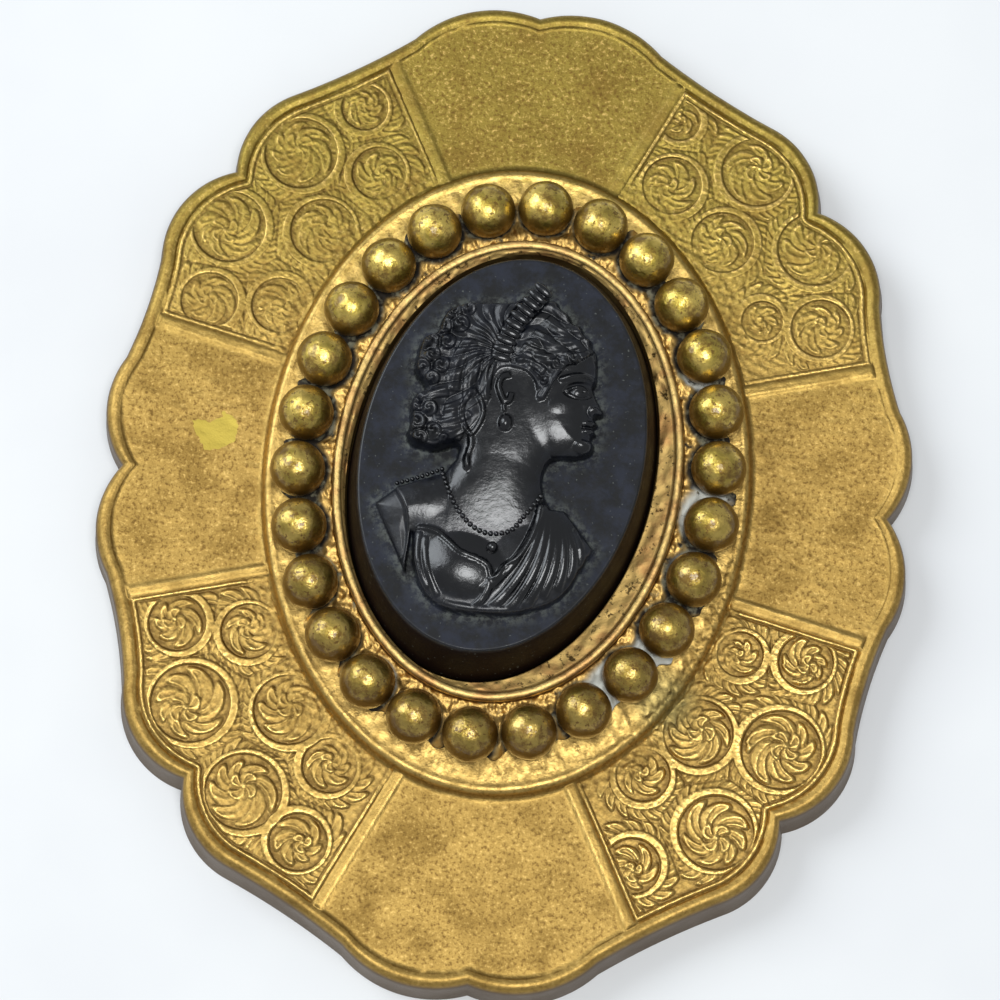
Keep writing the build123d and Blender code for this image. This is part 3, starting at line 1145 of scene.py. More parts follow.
@dataclass
class PlateShell(SubAssembly):
    """The stamped shell: rim, wall, plain fields, ribs and the collar under the setting."""

    slot = "plate_brass"
    nodes = ("front_plate",)
    shape: PlateShape
    field_rows: int = 37
    rib_rise: float = 0.09
    panel_drop: float = 0.12
    sag: float = 0.03
    grit: float = 0.014
    collar_section: Points = (
        (0.76, 0.0), (0.64, 0.01), (0.54, 0.03), (0.44, 0.05), (0.34, 0.04), (0.24, 0.0), (0.15, -0.07),
        (0.08, -0.17), (0.02, -0.3), (-0.03, -0.41), (-0.09, -0.46),
    )
    rim_section: Points = (
        (0.84, -0.1), (0.76, -0.07), (0.66, -0.03), (0.56, 0.0), (0.46, 0.0), (0.36, -0.03), (0.26, -0.09),
        (0.17, -0.17), (0.09, -0.28), (0.03, -0.42), (0.0, -0.6),
    )
    wall_heights: tuple[float, ...] = (1.85, 1.5, 1.15, 0.8, 0.5, 0.25, 0.04, 0.0)
    edge_reach: float = 0.3

    def build(self) -> Piece:
        """Build the shell as one closed skin, from the middle of its top to the middle of its back.

        Returns:
            The finished shell.
        """
        shape = self.shape
        skin = Skin("cavity", "matte", "wall")
        margin = shape.edge(shape.field_margin)
        middle = np.array([shape.shift_x, shape.shift_y])
        angles = np.arctan2(*(margin - middle).T[::-1])
        for inset in (8.0, 3.2):
            skin.lay(shape.collar(inset, angles), shape.platform - 0.02, 0.6, 0.0, 0.0)
        for inset in np.arange(2.9, 0.8, -0.24):
            flat = shape.collar(inset, angles)
            height = shape.platform + 0.03 * ripples(*flat.T, 0.9, 3) + 0.015 * ripples(*flat.T, 0.35, 4)
            skin.lay(flat, height, 0.16 + 0.12 * ripples(*flat.T, 0.7, 9), 0.5, 0.0)
        crusted = dent(angles + 0.62, 0.5)
        # Painted shade along the collar's foot, weaker on its left side, where the foot is drawn lighter.
        collar_foot_shade = 0.54 - 0.28 * smooth(-np.cos(angles), 0.6, 0.95)
        for inset, rise in self.collar_section:
            flat = shape.collar(inset, angles)
            lumps = ripples(*flat.T, 0.55, 13)
            tone = np.where(rise > -0.2, 0.18 + 0.1 * ripples(*flat.T, 1.1, 8), collar_foot_shade)
            tone = tone + crusted * (0.3 - tone + 0.16 * lumps)
            uneven = 0.015 * ripples(*flat.T, 1.4, 5) + 0.05 * crusted * (lumps - 0.6)
            uneven = uneven + 0.03 * crusted * ripples(*flat.T, 0.28, 17)
            skin.lay(flat, shape.platform + rise + uneven, np.clip(tone, 0, 1), 0.4 + 0.4 * crusted, 0.0)
        foot = shape.collar(-0.12, angles)
        for share in np.linspace(0, 1, self.field_rows):
            flat = foot + (margin - foot) * share
            skin.lay(flat, *self.field_surface(flat, foot, margin), 0.0)
        for inset, rise in self.rim_section:
            flat = shape.edge(inset)
            height = shape.wall_height + rise + 0.012 * ripples(*flat.T, 2.0, 7)
            tone = 0.46 + 0.14 * ripples(*flat.T, 4.0, 10)
            skin.lay(flat, height, tone, 0.25, smooth(np.full(len(flat), inset), 0.16, 0.02))
        straight = self.wall_heights[0] + self.edge_reach
        for height in self.wall_heights:
            skin.lay(shape.edge(0.0, shape.flare * (1 - height / straight) ** 1.5), height, 0.5, 0.0, 1.0)
        inner_top = shape.wall_height - shape.sheet
        lining = (
            (0.25, 0.0), (shape.sheet, 0.06), (shape.sheet, 1.2), (shape.sheet, inner_top - 0.1),
            (0.7, inner_top),
        )
        for inset, height in lining:
            skin.lay(shape.edge(inset, shape.flare * (1 - height / inner_top)), height, 0.6, 0.0, 1.0)
        for share in (0.7, 0.35):
            skin.lay(margin * share, inner_top, 0.6, 0.0, 1.0)
        tips = ((shape.shift_x, shape.shift_y, shape.platform), (0.0, 0.0, inner_top))
        return skin.close("plate_shell", tips, 0.5)

    def field_surface(self, flat: Array, foot: Array, margin: Array) -> tuple[Array, Array, Array]:
        """Height, painted shade and highlight, and grain of the fields and the ribs between them.

        Args:
            flat: Points of one ring of the fields.
            foot: Points at the collar's foot.
            margin: Points at the rim.

        Returns:
            Heights, hollowness and grain, one value for each point.
        """
        shape = self.shape
        x, y = flat.T
        to_edge = np.minimum(np.hypot(*(flat - foot).T), np.hypot(*(margin - flat).T))
        ribbed = np.zeros(len(x))
        inside_scroll = np.zeros(len(x))
        to_rib = np.full(len(x), FAR)
        bright = np.zeros(len(x))
        for corner in Corner:
            side_x, side_y = corner.value
            here = (np.sign(x - shape.shift_x) == side_x) & (np.sign(y - shape.shift_y) == side_y)
            beside = [shape.beside_rib(x, y, rib, corner) for rib in shape.ribs]
            crisp = math.sqrt(CRISPNESS[corner])
            for gap in beside:
                band = crisp * smooth(shape.rib_width / 2 - np.abs(gap), -0.14, 0.06)
                ribbed = np.where(here, np.maximum(ribbed, band), ribbed)
                to_rib = np.where(here, np.minimum(to_rib, np.abs(gap) - shape.rib_width / 2), to_rib)
                # Worn line along each rib's edge, raised a little and lit with painted highlight.
                wear_and_highlight_line = crisp**2 * dent(gap + shape.rib_width / 2, 0.11)
                bright = np.where(here, np.maximum(bright, wear_and_highlight_line), bright)
            within = np.minimum(beside[0], beside[1]) - shape.rib_width / 2
            covered = smooth(np.minimum(within, to_edge), 0.12, 0.3)
            inside_scroll = np.where(here, np.maximum(inside_scroll, covered), inside_scroll)
        height = shape.floor + 0.02 + self.rib_rise * ribbed + 0.04 * bright
        height = height + self.sag * ripples(x, y, 7.0, 11) + self.grit * ripples(x, y, 0.8, 12)
        height = height - self.panel_drop * inside_scroll
        matte = smooth(np.minimum(to_edge, to_rib), 0.0, 0.6) * (1 - inside_scroll)
        # Painted shade darkens the field beside the ribs and at its edges; the rib-edge line lightens it as
        # painted highlight.
        cavity = 0.4 + 0.16 * dent(to_rib - 0.1, 0.12) + 0.18 * dent(to_edge, 0.15) - 0.38 * bright
        return height, np.clip(cavity, 0, 1), matte


@dataclass
class ScrollPanel(SubAssembly):
    """One chased panel: rounds of curled leaves inside a double border, worn flat by the collar."""

    slot = "plate_brass"
    shape: PlateShape
    corner: Corner
    seed: int = 1
    cells_across: int = 350
    cells_out: int = 142
    base: float = 0.01
    rise: float = 0.24
    stem_half: float = 0.21
    stem_rise: float = 0.84
    stem_swell: float = 0.3
    leaf_clear: float = 0.3
    leaf_twist: float = 1.9
    leaf_sweep: float = 0.8
    leaf_lean: float = 0.32
    leaf_dish: float = 0.48
    tip_round: float = 0.14
    hub_share: float = 0.11
    hub_shift: float = 0.16
    heart_share: float = 0.47
    petal_pitch: float = 0.92
    petal_length: float = 0.88
    border_offset: float = 0.26
    border_half: float = 0.13
    wear_reach: float = 2.4

    def build(self) -> Piece:
        """Build the panel as a closed tile let into the shell.

        Returns:
            The finished panel.
        """
        shape = self.shape
        inner, outer = self.long_edges()
        share = np.linspace(0, 1, self.cells_out + 1)[:, None, None]
        flat = inner[None] + (outer - inner)[None] * share
        x, y = flat[..., 0], flat[..., 1]
        to_rib = np.minimum(
            *[shape.beside_rib(x, y, rib, self.corner) for rib in shape.ribs]
        ) - shape.rib_width / 2
        to_rim = path_field(x.ravel(), y.ravel(), outer[::6])[0].reshape(x.shape)
        to_collar = path_field(x.ravel(), y.ravel(), inner[::6])[0].reshape(x.shape)
        to_border = np.minimum(to_rib, to_rim)
        crisp = CRISPNESS[self.corner]
        pattern = self.pattern(x, y) * smooth(to_border, 0.42, 0.56)
        border = 0.7 * ridge(to_border - self.border_offset, self.border_half)
        worn = smooth(to_collar + 0.5 * ripples(x, y, 2.2, self.seed), 0.1, self.wear_reach)
        worn = worn * np.clip(1 + 0.22 * ripples(x, y, 3.5, self.seed + 40), 0.6, 1.15)
        carved = np.maximum(pattern, border) * (0.25 + 0.75 * worn) * crisp
        carved = carved + (1 - worn) * 0.12 * ripples(x, y, 0.6, self.seed + 20)
        carved = carved + 0.04 * ripples(x, y, 0.33, self.seed + 30)
        to_edge = np.minimum(to_border, to_collar)
        height = shape.floor + self.base + self.rise * carved - 0.05 * (1 - smooth(to_edge, 0.0, 0.1))
        # Hollows darken with each panel's patina, and the raised carving is drawn lighter, partly as rubbed
        # metal and partly as painted highlight.
        shaded = PATINA[self.corner] + (soften(carved, 3) - carved) * 1.6
        hollow = np.clip(shaded - 0.3 * (carved - 0.3 * crisp), 0, 1)

        rows, columns = x.shape
        top = np.column_stack([x.ravel(), y.ravel(), height.ravel()])
        index = np.arange(rows * columns).reshape(rows, columns)
        rim = np.concatenate([index[0, :-1], index[:-1, -1], index[-1, :0:-1], index[:0:-1, 0]])
        skirt = top[rim] * (1, 1, 0) + (0, 0, shape.floor - 0.3)
        below = len(top) + np.arange(len(rim))
        sides = np.stack([rim, below, np.roll(below, -1), np.roll(rim, -1)], 1)
        faces = [grid_faces(rows, columns, False), sides, below[None, ::-1]]
        values = {
            "cavity": np.concatenate([hollow.ravel(), np.full(len(rim), 0.6)]),
            "matte": np.concatenate([0.4 * (1 - worn.ravel().clip(0, 1)), np.zeros(len(rim))]),
            "wall": np.zeros(len(top) + len(rim)),
        }
        return build_mesh(
            f"scroll_panel_{self.corner.name.lower()}", np.vstack([top, skirt]), faces, values
        )

    def long_edges(self) -> tuple[Array, Array]:
        """Edges of the panel, each in even steps from rib to rib.

        Returns:
            Points along the collar and points along the rim.
        """
        shape = self.shape
        side_x, side_y = self.corner.value
        found = []
        turns = np.linspace(0, TAU, 2880, endpoint=False)
        for loop in (shape.collar(-0.12, turns), shape.edge(shape.field_margin, per_arc=160)):
            sides = [
                shape.beside_rib(*loop.T, rib, self.corner) - shape.rib_width / 2 for rib in shape.ribs
            ]
            inside = (sides[0] > 0) & (sides[1] > 0) & (loop[:, 0] * side_x > 0) & (loop[:, 1] * side_y > 0)
            start = np.flatnonzero(inside & ~np.roll(inside, 1))[0]
            stretch = np.roll(loop, -start, axis=0)[: int(inside.sum())]
            found.append(even_points(stretch, self.cells_across + 1))
        return found[0], found[1]

    def pattern(self, x: Array, y: Array) -> Array:
        """Carving of the rounds and the small leaves between them.

        Args:
            x: Places along X.
            y: Places along Y.

        Returns:
            Heights from 0 to 1.
        """
        half_x = self.shape.width / 2 * self.corner.value[0]
        half_y = self.shape.length / 2 * self.corner.value[1]
        spots = [
            (spot.along_x * half_x, spot.along_y * half_y, spot.radius * self.shape.width / 2, spot.curl)
            for spot in SCROLLS[self.corner]
        ]
        nearest = np.full(x.shape, FAR)
        second = np.full(x.shape, FAR)
        inner = np.zeros(x.shape)
        bands = np.zeros(x.shape)
        for order, (sx, sy, radius, curl) in enumerate(spots):
            ahead = spots[(order + 1) % len(spots)]
            phase = curl * math.atan2(ahead[1] - sy, ahead[0] - sx)
            seed = 10 * self.seed + order
            height, band, outside = self.round_height(x - sx, y - sy, radius, curl, phase, seed)
            closer = outside < nearest
            second = np.where(closer, nearest, np.minimum(second, outside))
            nearest = np.where(closer, outside, nearest)
            inner = np.where(closer, height, inner)
            bands = np.maximum(bands, band)
        parting = np.where(nearest > self.stem_half, np.sqrt(np.clip((second - nearest) / 0.24, 0, 1)), 1.0)
        return np.maximum(inner * parting, bands)

    def leaves(self, place: Array, half: Array, room: Array, seed: int) -> Array:
        """Row of leaves with rounded tips, each leaning to one side and a little unlike the next.

        Args:
            place: Where each point lies along the row, one leaf to a unit.
            half: Half the width of a leaf there.
            room: Distance left to the tips.
            seed: Seed of the uneven lengths.

        Returns:
            Heights from 0 to 1.
        """
        draw = np.random.default_rng(seed).uniform(0, 1, 16)[np.floor(place).astype(int) % 16]
        across = 2 * (place % 1) - 1
        leaning = across + self.leaf_lean * (1 - across**2)
        dome = np.sqrt(np.clip(1 - leaning**2, 0, 1))
        left = room - 0.22 * draw - half * (1 - dome)
        edge = (0.12 + 0.88 * dome) * (0.82 + 0.18 * draw) * np.sqrt(np.clip(left / self.tip_round, 0, 1))
        inside = (1 - smooth(np.abs(leaning), 0.16, 0.56)) * smooth(
            left, self.tip_round, 2.6 * self.tip_round
        )
        return edge * (1 - self.leaf_dish * inside)

    def round_height(
        self, dx: Array, dy: Array, radius: float, curl: int, phase: float, seed: int
    ) -> tuple[Array, Array, Array]:
        """Carving of one round and the leaves that stand round it.

        Args:
            dx: Places along X from its middle.
            dy: Places along Y from its middle.
            radius: Its radius.
            curl: Which way its leaves turn.
            phase: Angle at which its stem comes in.
            seed: Seed of the uneven leaves.

        Returns:
            Heights of its leaves and of its stem from 0 to 1, and the distance outside the stem.
        """
        phi = curl * np.arctan2(dy, dx)
        outside = np.hypot(dx, dy) - radius
        half = self.stem_half * (1 + self.stem_swell * np.cos(phi - phase))
        band = self.stem_rise * smooth(half - np.abs(outside), -0.01, 0.06)
        hub_angle = phase + 2.4
        hx = dx - self.hub_shift * radius * math.cos(hub_angle)
        hy = dy - curl * self.hub_shift * radius * math.sin(hub_angle)
        rho = np.hypot(hx, hy)
        turn = curl * np.arctan2(hy, hx) + self.leaf_twist * (rho / radius) ** self.leaf_sweep
        lobes = round(3.8 + 1.4 * radius)
        half_leaf = np.minimum(math.pi * rho / lobes, 0.6)
        outer = self.leaves(lobes * turn / TAU, half_leaf, -outside - self.leaf_clear, seed)
        heart = round(2.2 + 0.6 * radius)
        room = self.heart_share * radius - rho
        half_leaf = np.minimum(math.pi * rho / heart, 0.35)
        inner = self.leaves(heart * (turn + 0.5) / TAU, half_leaf, room, seed + 5)
        hub = ridge(rho, self.hub_share * radius)
        within = np.maximum.reduce([0.78 * outer * smooth(rho, 0.25 * radius, 0.4 * radius), inner, hub])
        petals = round(TAU * (radius + 0.5) / self.petal_pitch)
        lean = petals * (phi + 0.9 * outside / (radius + 0.5)) / TAU
        room = self.petal_length + self.stem_half - outside
        around = 0.72 * self.leaves(lean, np.full(dx.shape, self.petal_pitch / 2), room, seed + 7)
        return np.where(outside > 0, around, within), band, outside


# The setting


def turned(points: Array, degrees: float, shift: tuple[float, float]) -> Array:
    """Points turned about the middle, then moved.

    Args:
        points: The points.
        degrees: How far they turn, clockwise.
        shift: How far they move.

    Returns:
        The new points.
    """
    angle = math.radians(degrees)
    spin = np.array([[math.cos(angle), math.sin(angle)], [-math.sin(angle), math.cos(angle)]])
    return points @ spin + np.array(shift)


def oval(a: float, b: float, turns: Array) -> Array:
    """Points of an oval with the given half axes."""
    return np.stack([a * np.cos(turns), b * np.sin(turns)], 1)


BEADS = tuple(sorted(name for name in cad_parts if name.startswith("bead_")))


@dataclass
class Setting:
    """Sizes that the bezel, the filler and the beads share, with their heights read from the frame."""

    turn: float = -3.8
    shift: tuple[float, float] = (0.15, 0.8)
    cameo_turn: float = -8.3
    cameo_shift: tuple[float, float] = (-0.2, 0.95)
    cup_x: float = 9.95
    cup_y: float = 13.6
    seat_x: float = 8.75
    seat_y: float = 12.75
    bead_offset: float = 1.98
    columns: int = 900

    def bead_places(self) -> Array:
        """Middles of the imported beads, in millimetres."""
        corners = [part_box(name) for name in BEADS]
        return np.array([[(low[n] + high[n]) / 2 / MM for n in range(3)] for low, high in corners])

    def ring(self, a: float, b: float) -> Array:
        """Oval round the setting's middle, in the way the cup is turned."""
        return turned(oval(a, b, np.linspace(0, TAU, self.columns, endpoint=False)), self.turn, self.shift)


@dataclass
class BezelCup(SubAssembly):
    """Gilt cup with a burnished lip and a hammered slope down to the cameo's seat."""

    slot = "bezel_gilt"
    nodes = ("bezel_cup",)
    setting: Setting
    base: float
    top: float
    lip_section: Points = (
        (0.0, -1.75), (0.0, -0.9), (0.03, -0.5), (0.0, -0.28), (0.03, -0.14), (0.1, -0.05), (0.2, 0.0),
        (0.32, 0.0), (0.44, -0.03), (0.52, -0.1), (0.57, -0.2), (0.63, -0.2),
    )
    slope_rows: int = 14
    seat_drop: float = 0.42
    floor_thickness: float = 0.5

    def build(self) -> Piece:
        """Build the cup from its foot over the lip and down the slope to its floor.

        Returns:
            The finished cup.
        """
        cup = self.setting
        skin = Skin("cavity")
        for inset, rise in self.lip_section:
            flat = cup.ring(cup.cup_x - inset, cup.cup_y - inset)
            wobble = 0.02 * ripples(*flat.T, 2.4, 41) + 0.012 * ripples(*flat.T, 0.8, 42)
            height = max(self.base, self.top + rise) if rise < -1 else self.top + rise - 0.03 + wobble
            skin.lay(flat, height, 0.8 if rise < -0.4 or inset > 0.55 else 0.1)
        start = skin.rings[-1]
        turns = np.linspace(0, TAU, cup.columns, endpoint=False) + math.radians(cup.turn - cup.cameo_turn)
        seat = turned(oval(cup.seat_x - 0.02, cup.seat_y - 0.02, turns), cup.cameo_turn, cup.cameo_shift)
        for share in np.linspace(0, 1, self.slope_rows)[1:]:
            flat = start[:, :2] + (seat - start[:, :2]) * share
            lumps = 0.06 * ripples(*flat.T, 1.7, 43) + 0.03 * ripples(*flat.T, 0.9, 44)
            slope = start[:, 2] + (self.top - self.seat_drop - start[:, 2]) * share
            height = slope + lumps * math.sin(math.pi * share)
            skin.lay(flat, height, np.clip(0.42 - 2.0 * lumps + 0.5 * (share > 0.93), 0, 1))
        floor = self.base + self.floor_thickness
        middle = seat.mean(0)
        skin.lay(seat, floor, 1.0)
        skin.lay(seat * 0.6 + middle * 0.4, floor, 1.0)
        return skin.close("bezel", ((*middle, self.base), (*middle, floor)), 1.0)


@dataclass
class FillerBed(SubAssembly):
    """Crumbly filler that the beads are bedded in, with white flakes low on the right and gilt elsewhere."""

    slot = "cement"
    nodes = ("cement_bed",)
    setting: Setting
    base: float
    top: float
    margin: float = 1.15
    rows_across: int = 26
    flakes: tuple[tuple[float, float, float], ...] = (
        (11.6, -1.0, 2.0), (11.0, -4.6, 1.6), (7.0, -11.5, 2.0), (9.3, -9.4, 1.8), (-6.4, -11.9, 1.4),
        (10.6, 7.2, 1.0),
    )
    gilt_sectors: Points = ((0.17, 0.31), (0.56, 0.83))
    crust_sectors: Points = ((-0.05, 0.16), (0.95, 1.05), (0.40, 0.54))

    def build(self) -> Piece:
        """Build the bed as a closed ring with a lumpy top.

        Returns:
            The finished bed.
        """
        ring = self.setting
        beads = ring.bead_places()
        inner = ring.ring(ring.cup_x + 0.02, ring.cup_y + 0.02)
        reach = ring.bead_offset + self.margin
        outer = ring.ring(ring.cup_x + reach, ring.cup_y + reach)
        ragged = 0.14 * (1 + ripples(*outer.T, 1.3, 53))
        outer = outer + (inner - outer) * np.clip(ragged, 0, 0.35)[:, None]
        skin = Skin("flake", "gilt")
        skin.lay(inner, self.base, 0.0, 0.0)
        for share in np.linspace(0, 1, self.rows_across):
            flat = inner + (outer - inner) * share
            near = np.min(np.hypot(flat[:, :1] - beads[:, 0], flat[:, 1:] - beads[:, 1]), axis=1)
            between = smooth(near, 1.1, 1.75)
            lumps = 0.5 * ripples(*flat.T, 0.9, 51) + 0.35 * ripples(*flat.T, 0.4, 52)
            height = self.top - 0.12 + between * (0.28 + 0.14 * lumps) + 0.05 * lumps
            height = height - 0.55 * smooth(np.full(len(flat), share), 0.72, 1.0) ** 2
            white = np.zeros(len(flat))
            for fx, fy, size in self.flakes:
                white = np.maximum(
                    white, 1 - smooth(np.hypot(flat[:, 0] - fx, flat[:, 1] - fy), 0.6 * size, size)
                )
            turns = (np.arctan2(flat[:, 1] - ring.shift[1], flat[:, 0] - ring.shift[0]) / TAU) % 1
            gold = np.zeros(len(flat))
            for start, end in self.gilt_sectors:
                gold = np.maximum(
                    gold, smooth(turns, start, start + 0.05) * (1 - smooth(turns, end - 0.05, end))
                )
            tongue = between * (1 - smooth(np.full(len(flat), share), 0.22, 0.42))
            outer_gilt = smooth(np.full(len(flat), share) + 0.08 * ripples(*flat.T, 1.0, 54), 0.62, 0.8)
            for start, end in self.crust_sectors:
                crusty = smooth(turns, start, start + 0.05) * (1 - smooth(turns, end - 0.05, end))
                outer_gilt = outer_gilt * (1 - crusty * smooth(ripples(*flat.T, 1.6, 56), -0.6, 0.2))
            clean = smooth(near + 0.05 * ripples(*flat.T, 0.6, 55) + 0.2 * gold, 1.7, 2.0)
            gilded = np.maximum.reduce([gold, outer_gilt, tongue]) * (1 - white) * clean
            skin.lay(flat, np.clip(height + 0.32 * tongue, self.base + 0.1, None), white, gilded)
        skin.lay(outer, self.base, 0.0, 0.0)
        return skin.close("filler_bed")


# Pieces that repeat


@dataclass
class Repeats:
    """Balls repeated by a node tree, then made a plain mesh.

    With a count they stand along a path, turned as it runs. Without one they stand at the points of a
    mesh, each turned its own way. Size is half their width along each axis.
    """

    name: str
    size: tuple[float, float, float]
    finish: Material
    count: int = 0
    segments: int = 16
    unevenness: float = 0.0
    grain: float = 1.0
    seed: int = 1

    def tree(self) -> Tree:
        """Build the node tree with its named inputs.

        Returns:
            The new tree.
        """
        tree = bpy.data.node_groups.new(f"{self.name}_repeat", "GeometryNodeTree")
        sockets = (
            ("Geometry", "INPUT", "Geometry"),
            ("Count", "INPUT", "Int"),
            ("Size", "INPUT", "Vector"),
            ("Unevenness", "INPUT", "Float"),
            ("Finish", "INPUT", "Material"),
            ("Geometry", "OUTPUT", "Geometry"),
        )
        for name, way, kind in sockets:
            tree.interface.new_socket(name, in_out=way, socket_type=f"NodeSocket{kind}")
        given = add_node(tree, "NodeGroupInput").outputs
        round_ball = {"Segments": self.segments, "Rings": self.segments // 2, "Radius": 1.0}
        ball = add_node(tree, "GeometryNodeMeshUVSphere", round_ball).outputs["Mesh"]
        sized = add_node(
            tree, "GeometryNodeTransform", {"Geometry": ball, "Scale": given["Size"]}
        ).outputs[0]
        if self.count:
            path = {"Curve": given["Geometry"], "Count": given["Count"]}
            stations = add_node(tree, "GeometryNodeCurveToPoints", path, mode="COUNT")
            heading = stations.outputs["Rotation"]
        else:
            stations = add_node(tree, "GeometryNodeMeshToPoints", {"Mesh": given["Geometry"]})
            turns = {"Min": (0.0, 0.0, 0.0), "Max": (TAU, TAU, TAU), "Seed": self.seed}
            draw = add_node(tree, "FunctionNodeRandomValue", turns, data_type="FLOAT_VECTOR").outputs[0]
            heading = add_node(tree, "FunctionNodeEulerToRotation", {0: draw}).outputs[0]
        laid = {"Points": stations.outputs["Points"], "Instance": sized, "Rotation": heading}
        laid = add_node(tree, "GeometryNodeInstanceOnPoints", laid).outputs[0]
        real = add_node(tree, "GeometryNodeRealizeInstances", {"Geometry": laid}).outputs[0]
        place = add_node(tree, "GeometryNodeInputPosition").outputs[0]
        noise = {"Vector": place, "Scale": 1 / (self.grain * MM), "Detail": 1.0}
        noise = {0: add_node(tree, "ShaderNodeTexNoise", noise).outputs["Color"], 1: (0.5, 0.5, 0.5)}
        centred = add_node(tree, "ShaderNodeVectorMath", noise, operation="SUBTRACT").outputs[0]
        push = {0: centred, "Scale": given["Unevenness"]}
        pushed = add_node(tree, "ShaderNodeVectorMath", push, operation="SCALE").outputs[0]
        dented = add_node(tree, "GeometryNodeSetPosition", {"Geometry": real, "Offset": pushed}).outputs[0]
        shade = {"Geometry": dented, "Shade Smooth": True}
        shaded = add_node(tree, "GeometryNodeSetShadeSmooth", shade).outputs[0]
        finish = {"Geometry": shaded, "Material": given["Finish"]}
        dressed = add_node(tree, "GeometryNodeSetMaterial", finish).outputs[0]
        add_node(tree, "NodeGroupOutput", {"Geometry": dressed})
        return tree

    def build(self, source: bpy.types.ID) -> Piece:
        """Run the tree on a source and keep its result as a plain mesh.

        Args:
            source: Mesh of points, or a curve, in metres.

        Returns:
            The finished piece, at the origin.
        """
        carrier = put(f"{self.name}_source", source)
        modifier = carrier.modifiers.new("repeat", "NODES")
        tree = self.tree()
        modifier.node_group = tree
        given = {
            "Count": self.count,
            "Size": tuple(value * MM for value in self.size),
            "Unevenness": self.unevenness * MM,
            "Finish": self.finish,
        }
        for item in tree.interface.items_tree:
            if item.in_out == "INPUT" and item.name in given:
                modifier[item.identifier] = given[item.name]
        bpy.context.view_layer.update()
        graph = bpy.context.evaluated_depsgraph_get()
        seen = carrier.evaluated_get(graph)
        mesh = bpy.data.meshes.new_from_object(seen, preserve_all_data_layers=True, depsgraph=graph)
        mesh.name = self.name
        bpy.data.objects.remove(carrier)
        return put(self.name, mesh)


def point_mesh(name: str, places: Array) -> bpy.types.Mesh:
    """Mesh of single points.

    Args:
        name: Name of the mesh.
        places: Places in millimetres.

    Returns:
        The new mesh.
    """
    mesh = bpy.data.meshes.new(name)
    mesh.from_pydata([tuple(p * MM) for p in places], [], [])
    return mesh


def path_curve(name: str, places: Array) -> bpy.types.Curve:
    """Curve through places, its side kept level.

    Args:
        name: Name of the curve.
        places: Places in millimetres.

    Returns:
        The new curve.
    """
    curve = bpy.data.curves.new(name, "CURVE")
    curve.dimensions = "3D"
    curve.twist_mode = "Z_UP"
    line = curve.splines.new("POLY")
    line.points.add(len(places) - 1)
    line.points.foreach_set("co", np.column_stack([places * MM, np.ones(len(places))]).ravel())
    return curve


@dataclass
class BeadRing(SubAssembly):
    """Brass balls round the setting, a little dented and each turned its own way."""

    slot = "bead_brass"
    nodes = BEADS
    setting: Setting
    finish: Material
    fill: float = 0.99
    segments: int = 56
    dent: float = 0.09
    dent_spacing: float = 1.2
    seed: int = 7

    def build(self) -> Piece:
        """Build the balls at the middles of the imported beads, a little inside them.

        Returns:
            All the balls as one piece.
        """
        low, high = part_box("bead_01")
        radius = (high.z - low.z) / 2 / MM
        balls = Repeats(
            "beads",
            (radius * self.fill,) * 3,
            self.finish,
            segments=self.segments,
            unevenness=self.dent,
            grain=self.dent_spacing,
            seed=self.seed,
        )
        return balls.build(point_mesh("bead_points", self.setting.bead_places()))


# The cameo


@dataclass(frozen=True)
class Lock:
    """Lock or fold: start, bend and end in thousandths of the bust's height, half width and rise in mm."""

    start: tuple[float, float]
    bend: tuple[float, float]
    end: tuple[float, float]
    width: float
    rise: float
    strands: int = 2


@dataclass(frozen=True)
class Curl:
    """Coiled curl: middle in thousandths of the bust's height, radius in mm, and the way it turns."""

    along_x: float
    along_y: float
    radius: float
    turn: int


@dataclass(frozen=True)
class Dome:
    """Rounded form: middle, half widths, rise and tilt, in mm and degrees."""

    x: float
    y: float
    half_x: float
    half_y: float
    rise: float
    tilt: float = 0.0


